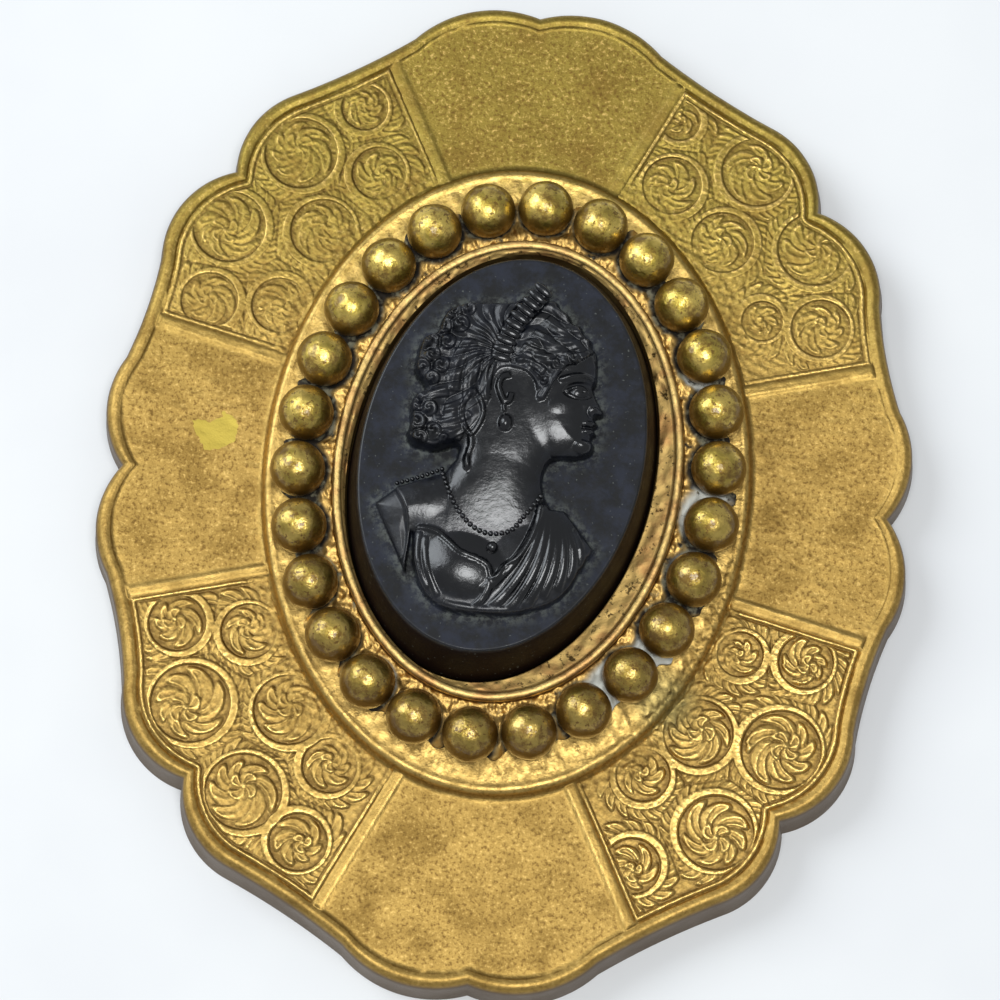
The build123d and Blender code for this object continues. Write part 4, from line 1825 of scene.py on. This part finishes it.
@dataclass
class Bust:
    """Relief of a draped bust with a diadem, worked out as heights over the cameo's face.

    Its lines go through points in thousandths of its height. Sizes are in millimetres.
    """

    height: float = 19.3
    parts: int = 1000
    step: float = 0.5
    limit: float = 1.84
    hair_gloss: float = 0.64
    front_hair: Points = (
        (105, 469), (130, 464), (143, 443), (168, 425), (179, 402), (206, 392), (218, 367), (240, 352),
        (242, 331), (256, 316),
    )
    forehead: Points = ((262, 270), (262, 226), (252, 206))
    nose: Points = ((268, 172), (288, 136), (283, 122), (264, 116))
    lips: Points = ((274, 98), (264, 84), (272, 70), (258, 54))
    chin: Points = ((268, 34), (258, 6), (222, -10), (150, -18))
    neck_front: Points = ((126, -60), (128, -110), (152, -162))
    right_shoulder: Points = ((195, -164), (288, -277), (282, -290))
    lower_edge: Points = ((205, -425), (92, -480), (-24, -494), (-141, -482), (-209, -427), (-238, -350))
    left_arm: Points = ((-245, -265), (-256, -385), (-363, -177), (-300, -124), (-164, -72))
    neck_back: Points = ((-134, -30), (-134, 6))
    back_hair: Points = (
        (-200, -14), (-266, -1), (-285, 28), (-277, 65), (-281, 100), (-272, 148), (-243, 174), (-268, 209),
        (-276, 248), (-266, 310), (-240, 335), (-214, 353), (-207, 391), (-166, 431), (-123, 446),
    )
    crown: Points = ((-64, 450), (0, 455))
    diadem_edge: Points = ((70, 500), (96, 507))
    jaw: Points = ((150, -18), (95, 4), (50, 45), (18, 95), (0, 150))
    skull: Points = (
        (-60, 160), (-150, 190), (-225, 240), (-215, 330), (-120, 420), (0, 440), (130, 430), (240, 330),
    )
    hairline: Points = (
        (250, 318), (222, 292), (196, 268), (170, 262), (150, 236), (128, 196), (106, 150), (90, 152),
        (86, 196), (62, 232), (20, 246), (-26, 238), (-46, 196), (-50, 140), (-72, 92), (-104, 50),
        (-134, 6),
    )
    diadem: Points = ((-24, 270), (-12, 322), (14, 380), (52, 438), (96, 496))
    diadem_half: float = 0.44
    diadem_height: float = 1.44
    bundle: float = 0.86
    bundle_depth: float = 0.26
    wave: float = 1.5
    coil: float = 0.5
    curl_rise: float = 0.38
    fan_middle: tuple[float, float] = (-0.4, 5.6)
    fan_reach: float = 3.4
    sweep_middle: tuple[float, float] = (0.5, 3.9)
    sweep_reach: float = 2.8
    parting: float = 0.3
    locks: tuple[Lock, ...] = tuple(Lock(*row) for row in (
        ((30, 300), (85, 262), (160, 300), 0.44, 0.26), ((60, 346), (125, 300), (205, 344), 0.46, 0.26),
        ((98, 398), (150, 352), (216, 372), 0.44, 0.24), ((130, 440), (156, 404), (196, 398), 0.36, 0.18),
        ((160, 300), (206, 268), (238, 302), 0.36, 0.28), ((100, 256), (150, 282), (186, 262), 0.36, 0.3),
        ((156, 262), (136, 215), (100, 152), 0.3, 0.26), ((20, 262), (78, 278), (122, 226), 0.36, 0.3),
        ((10, 240), (62, 252), (100, 186), 0.28, 0.26), ((-50, 290), (-70, 215), (-58, 140), 0.34, 0.22),
        ((-85, 300), (-120, 225), (-105, 120), 0.4, 0.22),
        ((-110, 320), (-165, 255), (-160, 160), 0.42, 0.22),
        ((-90, 150), (-130, 105), (-186, 98), 0.4, 0.26), ((-106, 104), (-150, 62), (-210, 66), 0.38, 0.28),
        ((-118, 60), (-160, 20), (-215, 30), 0.36, 0.26),
        ((-170, 165), (-225, 158), (-260, 122), 0.42, 0.3),
    ))
    curls: tuple[Curl, ...] = tuple(Curl(*row) for row in (
        (-176, 404, 0.66, 1), (-130, 416, 0.46, -1), (-150, 366, 0.55, -1), (-200, 356, 0.52, 1),
        (-236, 310, 0.64, -1), (-184, 310, 0.5, 1), (-226, 268, 0.5, 1), (-254, 228, 0.58, -1),
        (-198, 238, 0.56, 1), (-222, 196, 0.48, -1), (-258, 118, 0.52, 1), (-222, 104, 0.5, -1),
        (-256, 60, 0.62, 1), (-206, 40, 0.52, -1), (-244, 18, 0.5, -1), (-168, 16, 0.46, 1),
        (140, 262, 0.42, 1), (192, 282, 0.38, -1), (108, 206, 0.34, -1),
    ))
    features: tuple[Dome, ...] = tuple(Dome(*row) for row in (
        (2.5, 2.0, 1.9, 2.2, 0.12), (3.3, 2.85, 1.0, 0.6, 0.08, 20), (4.1, 3.66, 1.0, 0.56, -0.36, 8),
        (4.12, 3.64, 0.48, 0.32, 0.32, 5), (4.96, 2.54, 0.36, 0.3, 0.18, 30),
        (5.18, 2.3, 0.13, 0.09, -0.12), (4.86, 1.8, 0.44, 0.18, 0.13, -8), (4.82, 1.36, 0.4, 0.18, 0.15, 6),
        (4.55, 0.42, 0.58, 0.45, 0.15), (4.7, 0.98, 0.38, 0.15, -0.08), (4.4, 1.6, 0.12, 0.12, -0.08),
        (2.0, 4.4, 1.0, 0.8, -0.05),
    ))
    creases: tuple[Lock, ...] = tuple(Lock(*row) for row in (
        ((262, 83), (245, 85), (224, 80), 0.11, -0.15), ((240, 186), (220, 222), (172, 184), 0.15, 0.26),
        ((240, 180), (214, 158), (176, 182), 0.12, 0.17), ((256, 222), (222, 252), (150, 214), 0.26, 0.22),
        ((226, 190), (222, 192), (218, 186), 0.11, -0.08),
        ((246, 146), (232, 130), (250, 114), 0.11, -0.09),
    ))
    folds: tuple[Lock, ...] = tuple(Lock(*row) for row in (
        ((126, -150), (110, -320), (-30, -432), 0.27, 0.22),
        ((134, -146), (136, -340), (0, -476), 0.29, 0.26),
        ((142, -146), (164, -345), (50, -480), 0.29, 0.27),
        ((150, -148), (190, -340), (100, -466), 0.28, 0.26),
        ((158, -152), (208, -320), (146, -434), 0.26, 0.23),
        ((166, -158), (230, -305), (190, -410), 0.25, 0.21),
        ((176, -168), (250, -285), (228, -376), 0.24, 0.18),
        ((186, -176), (262, -262), (256, -332), 0.22, 0.15),
        ((-224, -262), (-240, -360), (-186, -432), 0.26, 0.28),
        ((-204, -276), (-214, -372), (-154, -452), 0.22, 0.2),
        ((-10, -392), (4, -430), (-50, -476), 0.22, 0.22),
        ((-140, -470), (-40, -492), (80, -474), 0.22, 0.14),
    ))
    forms: tuple[Dome, ...] = tuple(Dome(*row) for row in (
        (-1.7, -6.9, 2.5, 1.9, 0.5, -12), (2.3, -6.4, 2.7, 2.2, 0.3, 20), (-1.0, -3.4, 4.6, 3.0, 0.16),
        (-4.6, -3.2, 2.2, 1.4, 0.12, 25), (2.6, -2.35, 0.42, 0.36, 0.22),
    ))
    neckline: Points = (
        (-224, -250), (-200, -252), (-166, -262), (-132, -290), (-98, -318), (-50, -334), (-16, -352),
        (-2, -386), (14, -378), (30, -350), (66, -325), (96, -280), (114, -225), (124, -165),
    )
    arm_cut: Points = ((-300, -128), (-262, -200), (-252, -290), (-262, -385))
    neck_axis: Points = ((10, 120), (0, -20), (-6, -120), (-10, -240))
    necklace: Points = (
        (-168, -84), (-153, -122), (-136, -160), (-109, -200), (-72, -237), (-32, -255), (12, -254),
        (46, -240), (75, -202), (102, -164), (122, -132),
    )
    shoulder_row: Points = ((-172, -60), (-234, -88), (-300, -112))
    ribbon: Points = ((-95, 170), (-122, 125), (-124, 85), (-96, 35), (-66, 85), (-68, 125), (-95, 170))
    ribbon_tail: Points = ((-96, 35), (-92, 5), (-100, -30), (-100, -70))
    ear: Points = ((8, 222), (-14, 214), (-24, 186), (-14, 156), (-4, 138), (10, 144), (16, 168))
    earring: Points = ((-6, 132), (-2, 105))
    ear_drop: Dome = Dome(0.06, 1.45, 0.42, 0.52, 0.34)
    ribbon_knot: Dome = Dome(-1.95, -0.95, 0.2, 0.55, 0.18, 10)
    pendant: Points = ((-7.5, -297), (-7, -310))

    def scaled(self, points: Points) -> Array:
        """Points in millimetres, from thousandths of the bust's height."""
        return np.array(points) / self.parts * self.height

    def line(self, points: Points, steps: int = 8) -> Array:
        """Smooth line through points given in thousandths of the bust's height."""
        return curve_through(self.scaled(points), steps)

    def bent(self, lock: Lock) -> Array:
        """Line of a lock or a fold.

        Args:
            lock: The lock or fold.

        Returns:
            Points from its start round its bend to its end.
        """
        share = np.linspace(0, 1, 14)[:, None]
        start, bend, end = self.scaled((lock.start, lock.bend, lock.end))
        return start * (1 - share) ** 2 + 2 * bend * share * (1 - share) + end * share**2

    def outline(self) -> Array:
        """Closed outline of the whole bust.

        Returns:
            Points from the front of the hair down the face and round.
        """
        profile = self.line(self.front_hair + self.forehead, 6)
        face = self.line(self.forehead[-1:] + self.nose + self.lips + self.chin + self.neck_front, 6)
        lower = self.line(self.right_shoulder[-1:] + self.lower_edge, 6)
        behind = self.line(self.neck_back + self.back_hair, 5)
        straight = (self.right_shoulder, self.left_arm, self.crown, self.diadem_edge)
        shoulder, arm, crown, diadem = (self.scaled(part) for part in straight)
        return np.vstack([profile[:-1], face, shoulder[:-1], lower, arm, behind, crown, diadem])

    def head_outline(self) -> Array:
        """Outline of the head without its neck, taken on under the hair.

        Returns:
            Points from the forehead down the face and back over the skull.
        """
        face = self.line(self.forehead + self.nose + self.lips + self.chin, 6)
        jaw = self.line(self.jaw, 5)
        return np.vstack([face, jaw[1:], self.scaled(self.skull)])

    def hair_outline(self) -> Array:
        """Outline of the hair.

        Returns:
            Points from the forehead round the ear to the nape and back over the top.
        """
        edge = self.line(self.hairline, 5)
        around = self.line(self.back_hair, 5)
        top = self.scaled(self.crown + self.diadem_edge)
        front = self.line(self.front_hair, 5)
        return np.vstack([edge, around, top, front[:-1]])

    def stroke(
        self, base: Array, x: Array, y: Array, path: Array, width: float, rise: float, strands: int = 0,
        soft: bool = False
    ) -> Array:
        """Raise a tapered bar of the surface along a path.

        Args:
            base: Heights to start from.
            x: Places along X.
            y: Places along Y.
            path: Points of the path.
            width: Half the bar's width.
            rise: Its height, negative to press it in.
            strands: Number of strands that its grooves part.
            soft: Whether its edges fade out.

        Returns:
            The new heights.
        """
        low, high = path.min(0) - width * 1.5, path.max(0) + width * 1.5
        close = (x > low[0]) & (x < high[0]) & (y > low[1]) & (y < high[1])
        if not close.any():
            return base
        distance, side, share = path_field(x[close], y[close], path)
        across = np.clip(distance / width, 0, 1.5)
        taper = np.clip(4 * share * (1 - share), 0, 1) ** 0.35
        if rise < 0 or soft:
            lift = rise * dent(across, 0.55) * taper
        else:
            grooves = 0.86 + 0.14 * np.cos(math.pi * strands * side * across)
            lift = rise * ridge(across, 1.0) * taper * grooves
        raised = base.copy()
        raised[close] = base[close] + lift
        return raised

    def surface(self, x: Array, y: Array) -> dict[str, Array]:
        """Heights of the relief and the values its finish reads.

        Args:
            x: Places along X from the bust's middle.
            y: Places along Y from the bust's middle.

        Returns:
            Heights over the ground, gloss of the skin, and depth in from the outline.
        """
        depth = depth_inside(x, y, self.outline())
        edge = smooth(depth, -0.03, 0.13)
        torso = self.step * edge + pillow(depth, 2.0, 0.5)
        from_neck = path_field(x, y, self.line(self.neck_axis, 3))[0]
        torso = torso + 0.46 * ridge(from_neck, 2.7) * smooth(y, -5.2, 0.8) * edge
        torso = self.dress_torso(torso, x, y, depth)
        head_depth = depth_inside(x, y, self.head_outline())
        head = 0.5 * smooth(head_depth, -0.02, 0.16) + pillow(head_depth, 2.4, 0.92)
        for form in self.features:
            head = head + self.dome(x, y, form) * smooth(head_depth, 0.0, 0.25)
        for crease in self.creases:
            head = self.stroke(head, x, y, self.bent(crease), crease.width, crease.rise, soft=True)
        body = blend_max(torso, head * edge, 0.2) - 0.05 * edge
        hair, hair_depth = self.hair(body, x, y, depth)
        body = np.where(hair_depth > -0.05, blend_max(hair, body, 0.03), body)
        body = self.trim(body, x, y)
        skin = smooth(hair_depth, 0.05, -0.1)
        rubbed = 0.6 + 0.4 * smooth(body, 0.85, 1.2)
        gloss = np.clip(self.hair_gloss * (1 - skin) + rubbed * skin, 0, 1) * edge
        return {"height": np.clip(body * edge, 0, self.limit), "gloss": gloss, "depth": depth}

    def dome(self, x: Array, y: Array, form: Dome, softness: float = 0.75) -> Array:
        """Rounded form.

        Args:
            x: Places along X.
            y: Places along Y.
            form: The form.
            softness: How softly its foot runs out.

        Returns:
            Its heights, 0 outside it.
        """
        angle = math.radians(form.tilt)
        dx, dy = x - form.x, y - form.y
        across = (dx * math.cos(angle) + dy * math.sin(angle)) / form.half_x
        up = (dy * math.cos(angle) - dx * math.sin(angle)) / form.half_y
        return form.rise * np.clip(1 - across**2 - up**2, 0, 1) ** softness

    def dress_torso(self, torso: Array, x: Array, y: Array, depth: Array) -> Array:
        """Add the shoulders, breast, neckline and folds of the dress.

        Args:
            torso: Heights to start from.
            x: Places along X.
            y: Places along Y.
            depth: Depth in from the outline.

        Returns:
            The new heights.
        """
        distance, side, _ = path_field(x, y, self.line(self.arm_cut, 3))
        stump = smooth(distance * np.where(side < 0, 1, -1), 0.0, 0.25) * smooth(-x, 4.4, 4.9)
        torso = torso - 0.3 * stump - 0.08 * np.clip(distance, 0, 2) * stump
        for form in self.forms:
            torso = torso + self.dome(x, y, form, 1.3) * smooth(depth, 0.0, 0.5)
        distance, side, _ = path_field(x, y, self.line(self.neckline, 5))
        cloth = np.where(side < 0, 1, -1) * distance
        covered = (y < -3) & (x > -4.5)
        torso = torso + 0.10 * smooth(cloth, -0.06, 0.1) * covered
        torso = torso + 0.16 * ridge(distance, 0.17)
        raised = torso
        for fold in self.folds:
            raised = np.maximum(raised, self.stroke(torso, x, y, self.bent(fold), fold.width, fold.rise))
        return raised

    def hair(self, body: Array, x: Array, y: Array, depth: Array) -> tuple[Array, Array]:
        """Hair with its fan of strands, locks, curls and diadem.

        Args:
            body: Heights under the hair.
            x: Places along X.
            y: Places along Y.
            depth: Depth in from the outline.

        Returns:
            Heights of the hair, and depth in from its outline.
        """
        hair_depth = depth_inside(x, y, self.hair_outline())
        mass = np.maximum(body, 0.82 * smooth(depth, 0, 0.3) + pillow(depth, 1.1, 0.34))
        hair = mass + pillow(hair_depth, 0.4, 0.12)
        dx, dy = x - self.fan_middle[0], y - self.fan_middle[1]
        rho = np.hypot(dx, dy)
        fan = np.arctan2(dy, dx) + 0.07 * np.sin(2.4 * rho + 0.6 * x)
        dx, dy = x - self.sweep_middle[0], y - self.sweep_middle[1]
        swept = np.arctan2(dy, dx)
        sweep = np.hypot(dx, dy) + 0.16 * np.sin(9 * swept)
        along = np.where(x < self.parting, fan * self.fan_reach, sweep)
        run = np.where(x < self.parting, rho, self.sweep_reach * swept)
        inside = smooth(hair_depth, 0.05, 0.4)
        rows = np.sqrt(np.abs(np.sin(math.pi * along / self.bundle)))
        rows = rows * (0.8 + 0.2 * np.cos(TAU * run / self.wave + 2.1 * np.floor(along / self.bundle)))
        hair = hair + inside * (
            self.bundle_depth * (rows - 0.8) + 0.01 * np.cos(TAU * along * 2 / self.bundle)
        )
        ground = hair.copy()
        for lock in self.locks:
            raised = self.stroke(ground, x, y, self.bent(lock), lock.width, lock.rise, lock.strands)
            hair = np.maximum(hair, raised)
        for curl in self.curls:
            middle = self.scaled(((curl.along_x, curl.along_y),))[0]
            dx, dy = x - middle[0], y - middle[1]
            rho = np.hypot(dx, dy)
            turn = np.cos(np.arctan2(dy, dx) * curl.turn - TAU * rho / self.coil)
            raised = ground - 0.06 + ridge(rho, curl.radius) * (self.curl_rise + 0.1 * turn)
            hair = np.where(rho < curl.radius, np.maximum(hair - 0.05, raised), hair)
        distance, _, share = path_field(x, y, self.line(self.diadem, 8))
        on_band = smooth(self.diadem_half - distance, 0.0, 0.1)
        gap = dent(distance - self.diadem_half - 0.08, 0.09) * (share > 0.01) * (share < 0.99)
        hair = hair - 0.16 * gap + on_band * (self.diadem_height + 0.1 * share - hair)
        return hair, hair_depth

    def trim(self, body: Array, x: Array, y: Array) -> Array:
        """Add the ear, its ring and the ribbon loop behind it.

        Args:
            body: Heights to start from.
            x: Places along X.
            y: Places along Y.

        Returns:
            The new heights.
        """
        for path, width, rise in (
            (self.line(self.ribbon, 5), 0.15, 0.24),
            (self.line(self.ribbon_tail, 5), 0.18, 0.22),
            (self.line(self.ear, 5), 0.19, 0.30),
            (self.line(self.earring, 3), 0.10, 0.18),
        ):
            body = self.stroke(body, x, y, path, width, rise)
        return body + self.dome(x, y, self.ear_drop) + self.dome(x, y, self.ribbon_knot)

    def lifted(self, points: Array, clearance: float, face: float, shift: tuple[float, float]) -> Array:
        """Lay a path on the relief.

        Args:
            points: Points of the path, from the bust's middle.
            clearance: Height of the points over the surface.
            face: Height of the cameo's face.
            shift: Place of the bust's middle.

        Returns:
            The path in the frame's millimetres.
        """
        heights = self.surface(points[:, 0], points[:, 1])["height"]
        return np.column_stack([points + np.array(shift), face + heights + clearance])


@dataclass
class Cameo(SubAssembly):
    """Tapered oval of black glass with the bust on its face."""

    slot = "black_glass"
    nodes = ("cameo",)
    setting: Setting
    base: float
    face: float = 7.575
    width: float = 17.3
    length: float = 25.3
    taper_width: float = 1.3
    taper_length: float = 2.15
    cells_x: int = 246
    cells_y: int = 348
    edge_round: float = 0.16
    edge_rows: int = 4
    side_rows: int = 7
    density: float = 1.7
    fine_across: tuple[float, float] = (-0.66, 0.72)
    fine_along: tuple[float, float] = (-0.06, 0.85)
    pearl: float = 0.155
    shoulder_pearl: float = 0.13
    pendant: float = 0.33
    necklace_count: int = 28
    shoulder_count: int = 10
    pearl_lift: float = 0.25
    rib_reach: float = 1.4
    rib_half: tuple[float, float] = (0.2, 0.25)
    rib_count: int = 10
    bust: Bust = field(default_factory=Bust)

    def build(self) -> Piece:
        """Build the face as a fine grid bent to the oval, then its side and its base.

        Returns:
            The finished cameo.
        """
        a = (self.width - self.taper_width) / 2 - self.edge_round
        b = (self.length - self.taper_length) / 2 - self.edge_round
        across = self.uneven_steps(self.cells_x, *self.fine_across)
        u, v = np.meshgrid(across, self.uneven_steps(self.cells_y, *self.fine_along))
        flat = np.stack([a * u * np.sqrt(1 - v * v / 2), b * v * np.sqrt(1 - u * u / 2)], -1).reshape(-1, 2)
        placed = turned(flat, self.setting.cameo_turn, self.setting.cameo_shift)
        relief = self.bust.surface(*(placed - np.array(self.setting.cameo_shift)).T)
        height = self.face + relief["height"] + 0.006 * ripples(*placed.T, 2.5, 61)
        dust = dent(np.clip(-relief["depth"], 0, None), 0.45) * (relief["depth"] < 0.02)
        index = np.arange(len(flat)).reshape(u.shape)
        rim = np.concatenate([index[0, :-1], index[:-1, -1], index[-1, :0:-1], index[:0:-1, 0]])
        rows = [np.column_stack([placed, height])]
        turns = np.arctan2(flat[rim, 1] / b, flat[rim, 0] / a)
        drop = self.face - self.base
        for turn in np.linspace(0.3, 1.35, self.edge_rows):
            out, down = self.edge_round * math.sin(turn), -self.edge_round * (1 - math.cos(turn))
            rows.append(self.oval_row(turns, a + out, b + out, self.face + down))
        for share in np.linspace(0.08, 1, self.side_rows):
            half_x = (self.width - self.taper_width * (1 - share)) / 2
            half_y = (self.length - self.taper_length * (1 - share)) / 2
            rows.append(self.oval_row(turns, half_x, half_y, self.face - drop * share))
        middle = (*self.setting.cameo_shift, self.base)
        points = np.vstack([*rows, [middle]])
        count = len(rim)
        first = len(flat)
        rings = len(rows) - 1
        ring = np.arange(count) + first
        join = np.stack([rim, ring, np.roll(ring, -1), np.roll(rim, -1)], 1)
        side = grid_faces(rings, count, True)[:, ::-1] + first
        foot = fan_faces(ring + (rings - 1) * count, len(points) - 1)[:, ::-1]
        faces = [np.vstack([grid_faces(*u.shape, False), join, side]), foot]
        edge, below = self.edge_rows * count, self.side_rows * count
        values = {
            "gloss": np.concatenate([relief["gloss"], np.full(edge, 0.6), np.full(below, 0.15), [0.0]]),
            "dust": np.concatenate([dust, np.zeros(edge + below + 1)]),
            "wall": np.concatenate([np.zeros(first + edge), np.ones(below + 1)]),
        }
        return build_mesh("cameo_glass", points, faces, values)

    def uneven_steps(self, cells: int, low: float, high: float) -> Array:
        """Steps from -1 to 1 that lie closer together in one stretch.

        Args:
            cells: Number of steps.
            low: Start of the stretch.
            high: End of the stretch.

        Returns:
            Places of the steps.
        """
        fine = np.linspace(-1, 1, 2001)
        weight = 1 + (self.density - 1) * smooth(fine, low - 0.1, low) * smooth(-fine, -high - 0.1, -high)
        reached = np.concatenate([[0], np.cumsum((weight[1:] + weight[:-1]) / 2)])
        return np.interp(np.linspace(0, reached[-1], cells + 1), reached, fine)

    def oval_row(self, turns: Array, half_x: float, half_y: float, height: float) -> Array:
        """Ring of points round the cameo at one height.

        Args:
            turns: Angle of each point.
            half_x: Half the ring's width.
            half_y: Half its length.
            height: Its height.

        Returns:
            The points.
        """
        flat = turned(oval(half_x, half_y, turns), self.setting.cameo_turn, self.setting.cameo_shift)
        return np.column_stack([flat, np.full(len(flat), height)])

    def trim(self, finish: Material) -> None:
        """Make the pearls of the necklace and the shoulder, the pendant, and the ribs of the diadem.

        Args:
            finish: Their material.
        """
        bust, middle = self.bust, self.setting.cameo_shift
        for name, points, size, count in (
            ("necklace_pearls", bust.necklace, self.pearl, self.necklace_count),
            ("shoulder_pearls", bust.shoulder_row, self.shoulder_pearl, self.shoulder_count),
            ("pendant", bust.pendant, self.pendant, 1),
        ):
            path = bust.lifted(bust.line(points, 6), self.pearl_lift * size, self.face, middle)
            maker = Repeats(name, (size, size, size), finish, count=count, segments=14)
            self.dress(maker.build(path_curve(name, path)), finish)
        band = bust.lifted(bust.line(bust.diadem, 8), 0.0, self.face, middle)
        rib = (self.rib_reach * bust.diadem_half, *self.rib_half)
        maker = Repeats("diadem_ribs", rib, finish, count=self.rib_count, segments=20)
        self.dress(maker.build(path_curve("diadem_ribs", band[:-2])), finish)


# Light, floor and camera


@dataclass(frozen=True)
class SoftBox:
    """Round lamp with soft light: where it hangs and its width in metres, and its power in watts."""

    name: str
    place: tuple[float, float, float]
    width: float
    power: float
    colour: str

    def build(self) -> None:
        """Hang the lamp so that it faces the brooch."""
        lamp = bpy.data.lights.new(self.name, "AREA")
        lamp.shape = "DISK"
        lamp.size = self.width
        lamp.energy = self.power
        lamp.color = linear(self.colour)[:3]
        made = put(self.name, lamp)
        made.location = self.place
        made.rotation_mode = "QUATERNION"
        made.rotation_quaternion = (-made.location).to_track_quat("-Z", "Y")


@dataclass
class Studio:
    """Pale board, soft lamps and the camera at the photograph's angle."""

    board_side: float = 0.9
    tilt: float = 14.0
    roll: float = -4.2151
    distance: float = 343.03
    aim_x: float = 0.26314
    aim_y: float = -0.14072
    lens: float = 214.2
    sensor: float = 36.0
    nearest: float = 0.01
    farthest: float = 10.0
    sky: str = "#F2F6FA"
    sky_strength: float = 0.38
    lamps: tuple[SoftBox, ...] = (
        SoftBox("overhead", (0.02, -0.06, 0.46), 0.21, 1.12, "#FCFEFF"),
        SoftBox("window", (-0.36, 0.18, 0.34), 0.36, 1.40, "#F2F9FF"),
    )

    def build(self) -> None:
        """Set out the board, the sky, the lamps and the camera."""
        half = self.board_side / 2
        mesh = bpy.data.meshes.new("board")
        corners = [(-half, -half, 0), (half, -half, 0), (half, half, 0), (-half, half, 0)]
        mesh.from_pydata(corners, [], [(0, 1, 2, 3)])
        mesh.materials.append(PaperFloor().material())
        board = put("board", mesh)
        world = bpy.data.worlds.new("room")
        world.use_nodes = True
        world.node_tree.nodes.clear()
        glow = {"Color": linear(self.sky), "Strength": self.sky_strength}
        sky = add_node(world.node_tree, "ShaderNodeBackground", glow)
        add_node(world.node_tree, "ShaderNodeOutputWorld", {"Surface": sky.outputs[0]})
        bpy.context.scene.world = world
        bpy.context.scene.view_settings.view_transform = "Standard"
        for lamp in self.lamps:
            lamp.build()
        self.camera()

    def camera(self) -> None:
        """Place the camera where the photograph was taken from."""
        data = bpy.data.cameras.new("camera")
        data.sensor_width = self.sensor
        data.lens = self.lens
        data.clip_start, data.clip_end = self.nearest, self.farthest
        made = put("camera", data)
        view = Matrix.Rotation(
            math.radians(-self.tilt), 4, "X"
        ) @ Matrix.Rotation(math.radians(self.roll), 4, "Z")
        offset = Matrix.Translation((self.aim_x * MM, self.aim_y * MM, -self.distance * MM))
        made.matrix_world = (offset @ view).inverted()
        bpy.context.scene.camera = made


def main() -> None:
    """Build the brooch round the frame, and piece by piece."""
    logging.basicConfig(level=logging.INFO, format="%(name)s %(message)s")
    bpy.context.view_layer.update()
    brass = StampedBrass().material()

    shape = PlateShape()
    PlateShell(shape).make(brass)
    for seed, corner in enumerate(Corner, start=1):
        ScrollPanel(shape, corner, seed).make(brass)

    setting = Setting()
    low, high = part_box("bezel_cup")
    BezelCup(setting, low.z / MM, high.z / MM).make(WornGilt().material())
    low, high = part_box("cement_bed")
    FillerBed(setting, low.z / MM, high.z / MM).make(SetFiller().material())
    bead_brass = TarnishedBrass().material()
    BeadRing(setting, bead_brass).make(bead_brass)

    low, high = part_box("cameo")
    cameo = Cameo(setting, low.z / MM)
    cameo.make(BlackGlass().material())
    cameo.trim(BlackGlass(name="polished black glass", least_gloss=0.9).material())

    dull_brass = DullBrass().material()
    for name, slot in (("back_plate", "back_brass"), ("pin_bar", "pin_brass")):
        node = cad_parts[name]
        node.data.materials.clear()
        node.data.materials.append(dull_brass)
        log.info("%s keeps its solid, slot %s", name, slot)

    Studio().build()


if __name__ == "__main__":
    main()
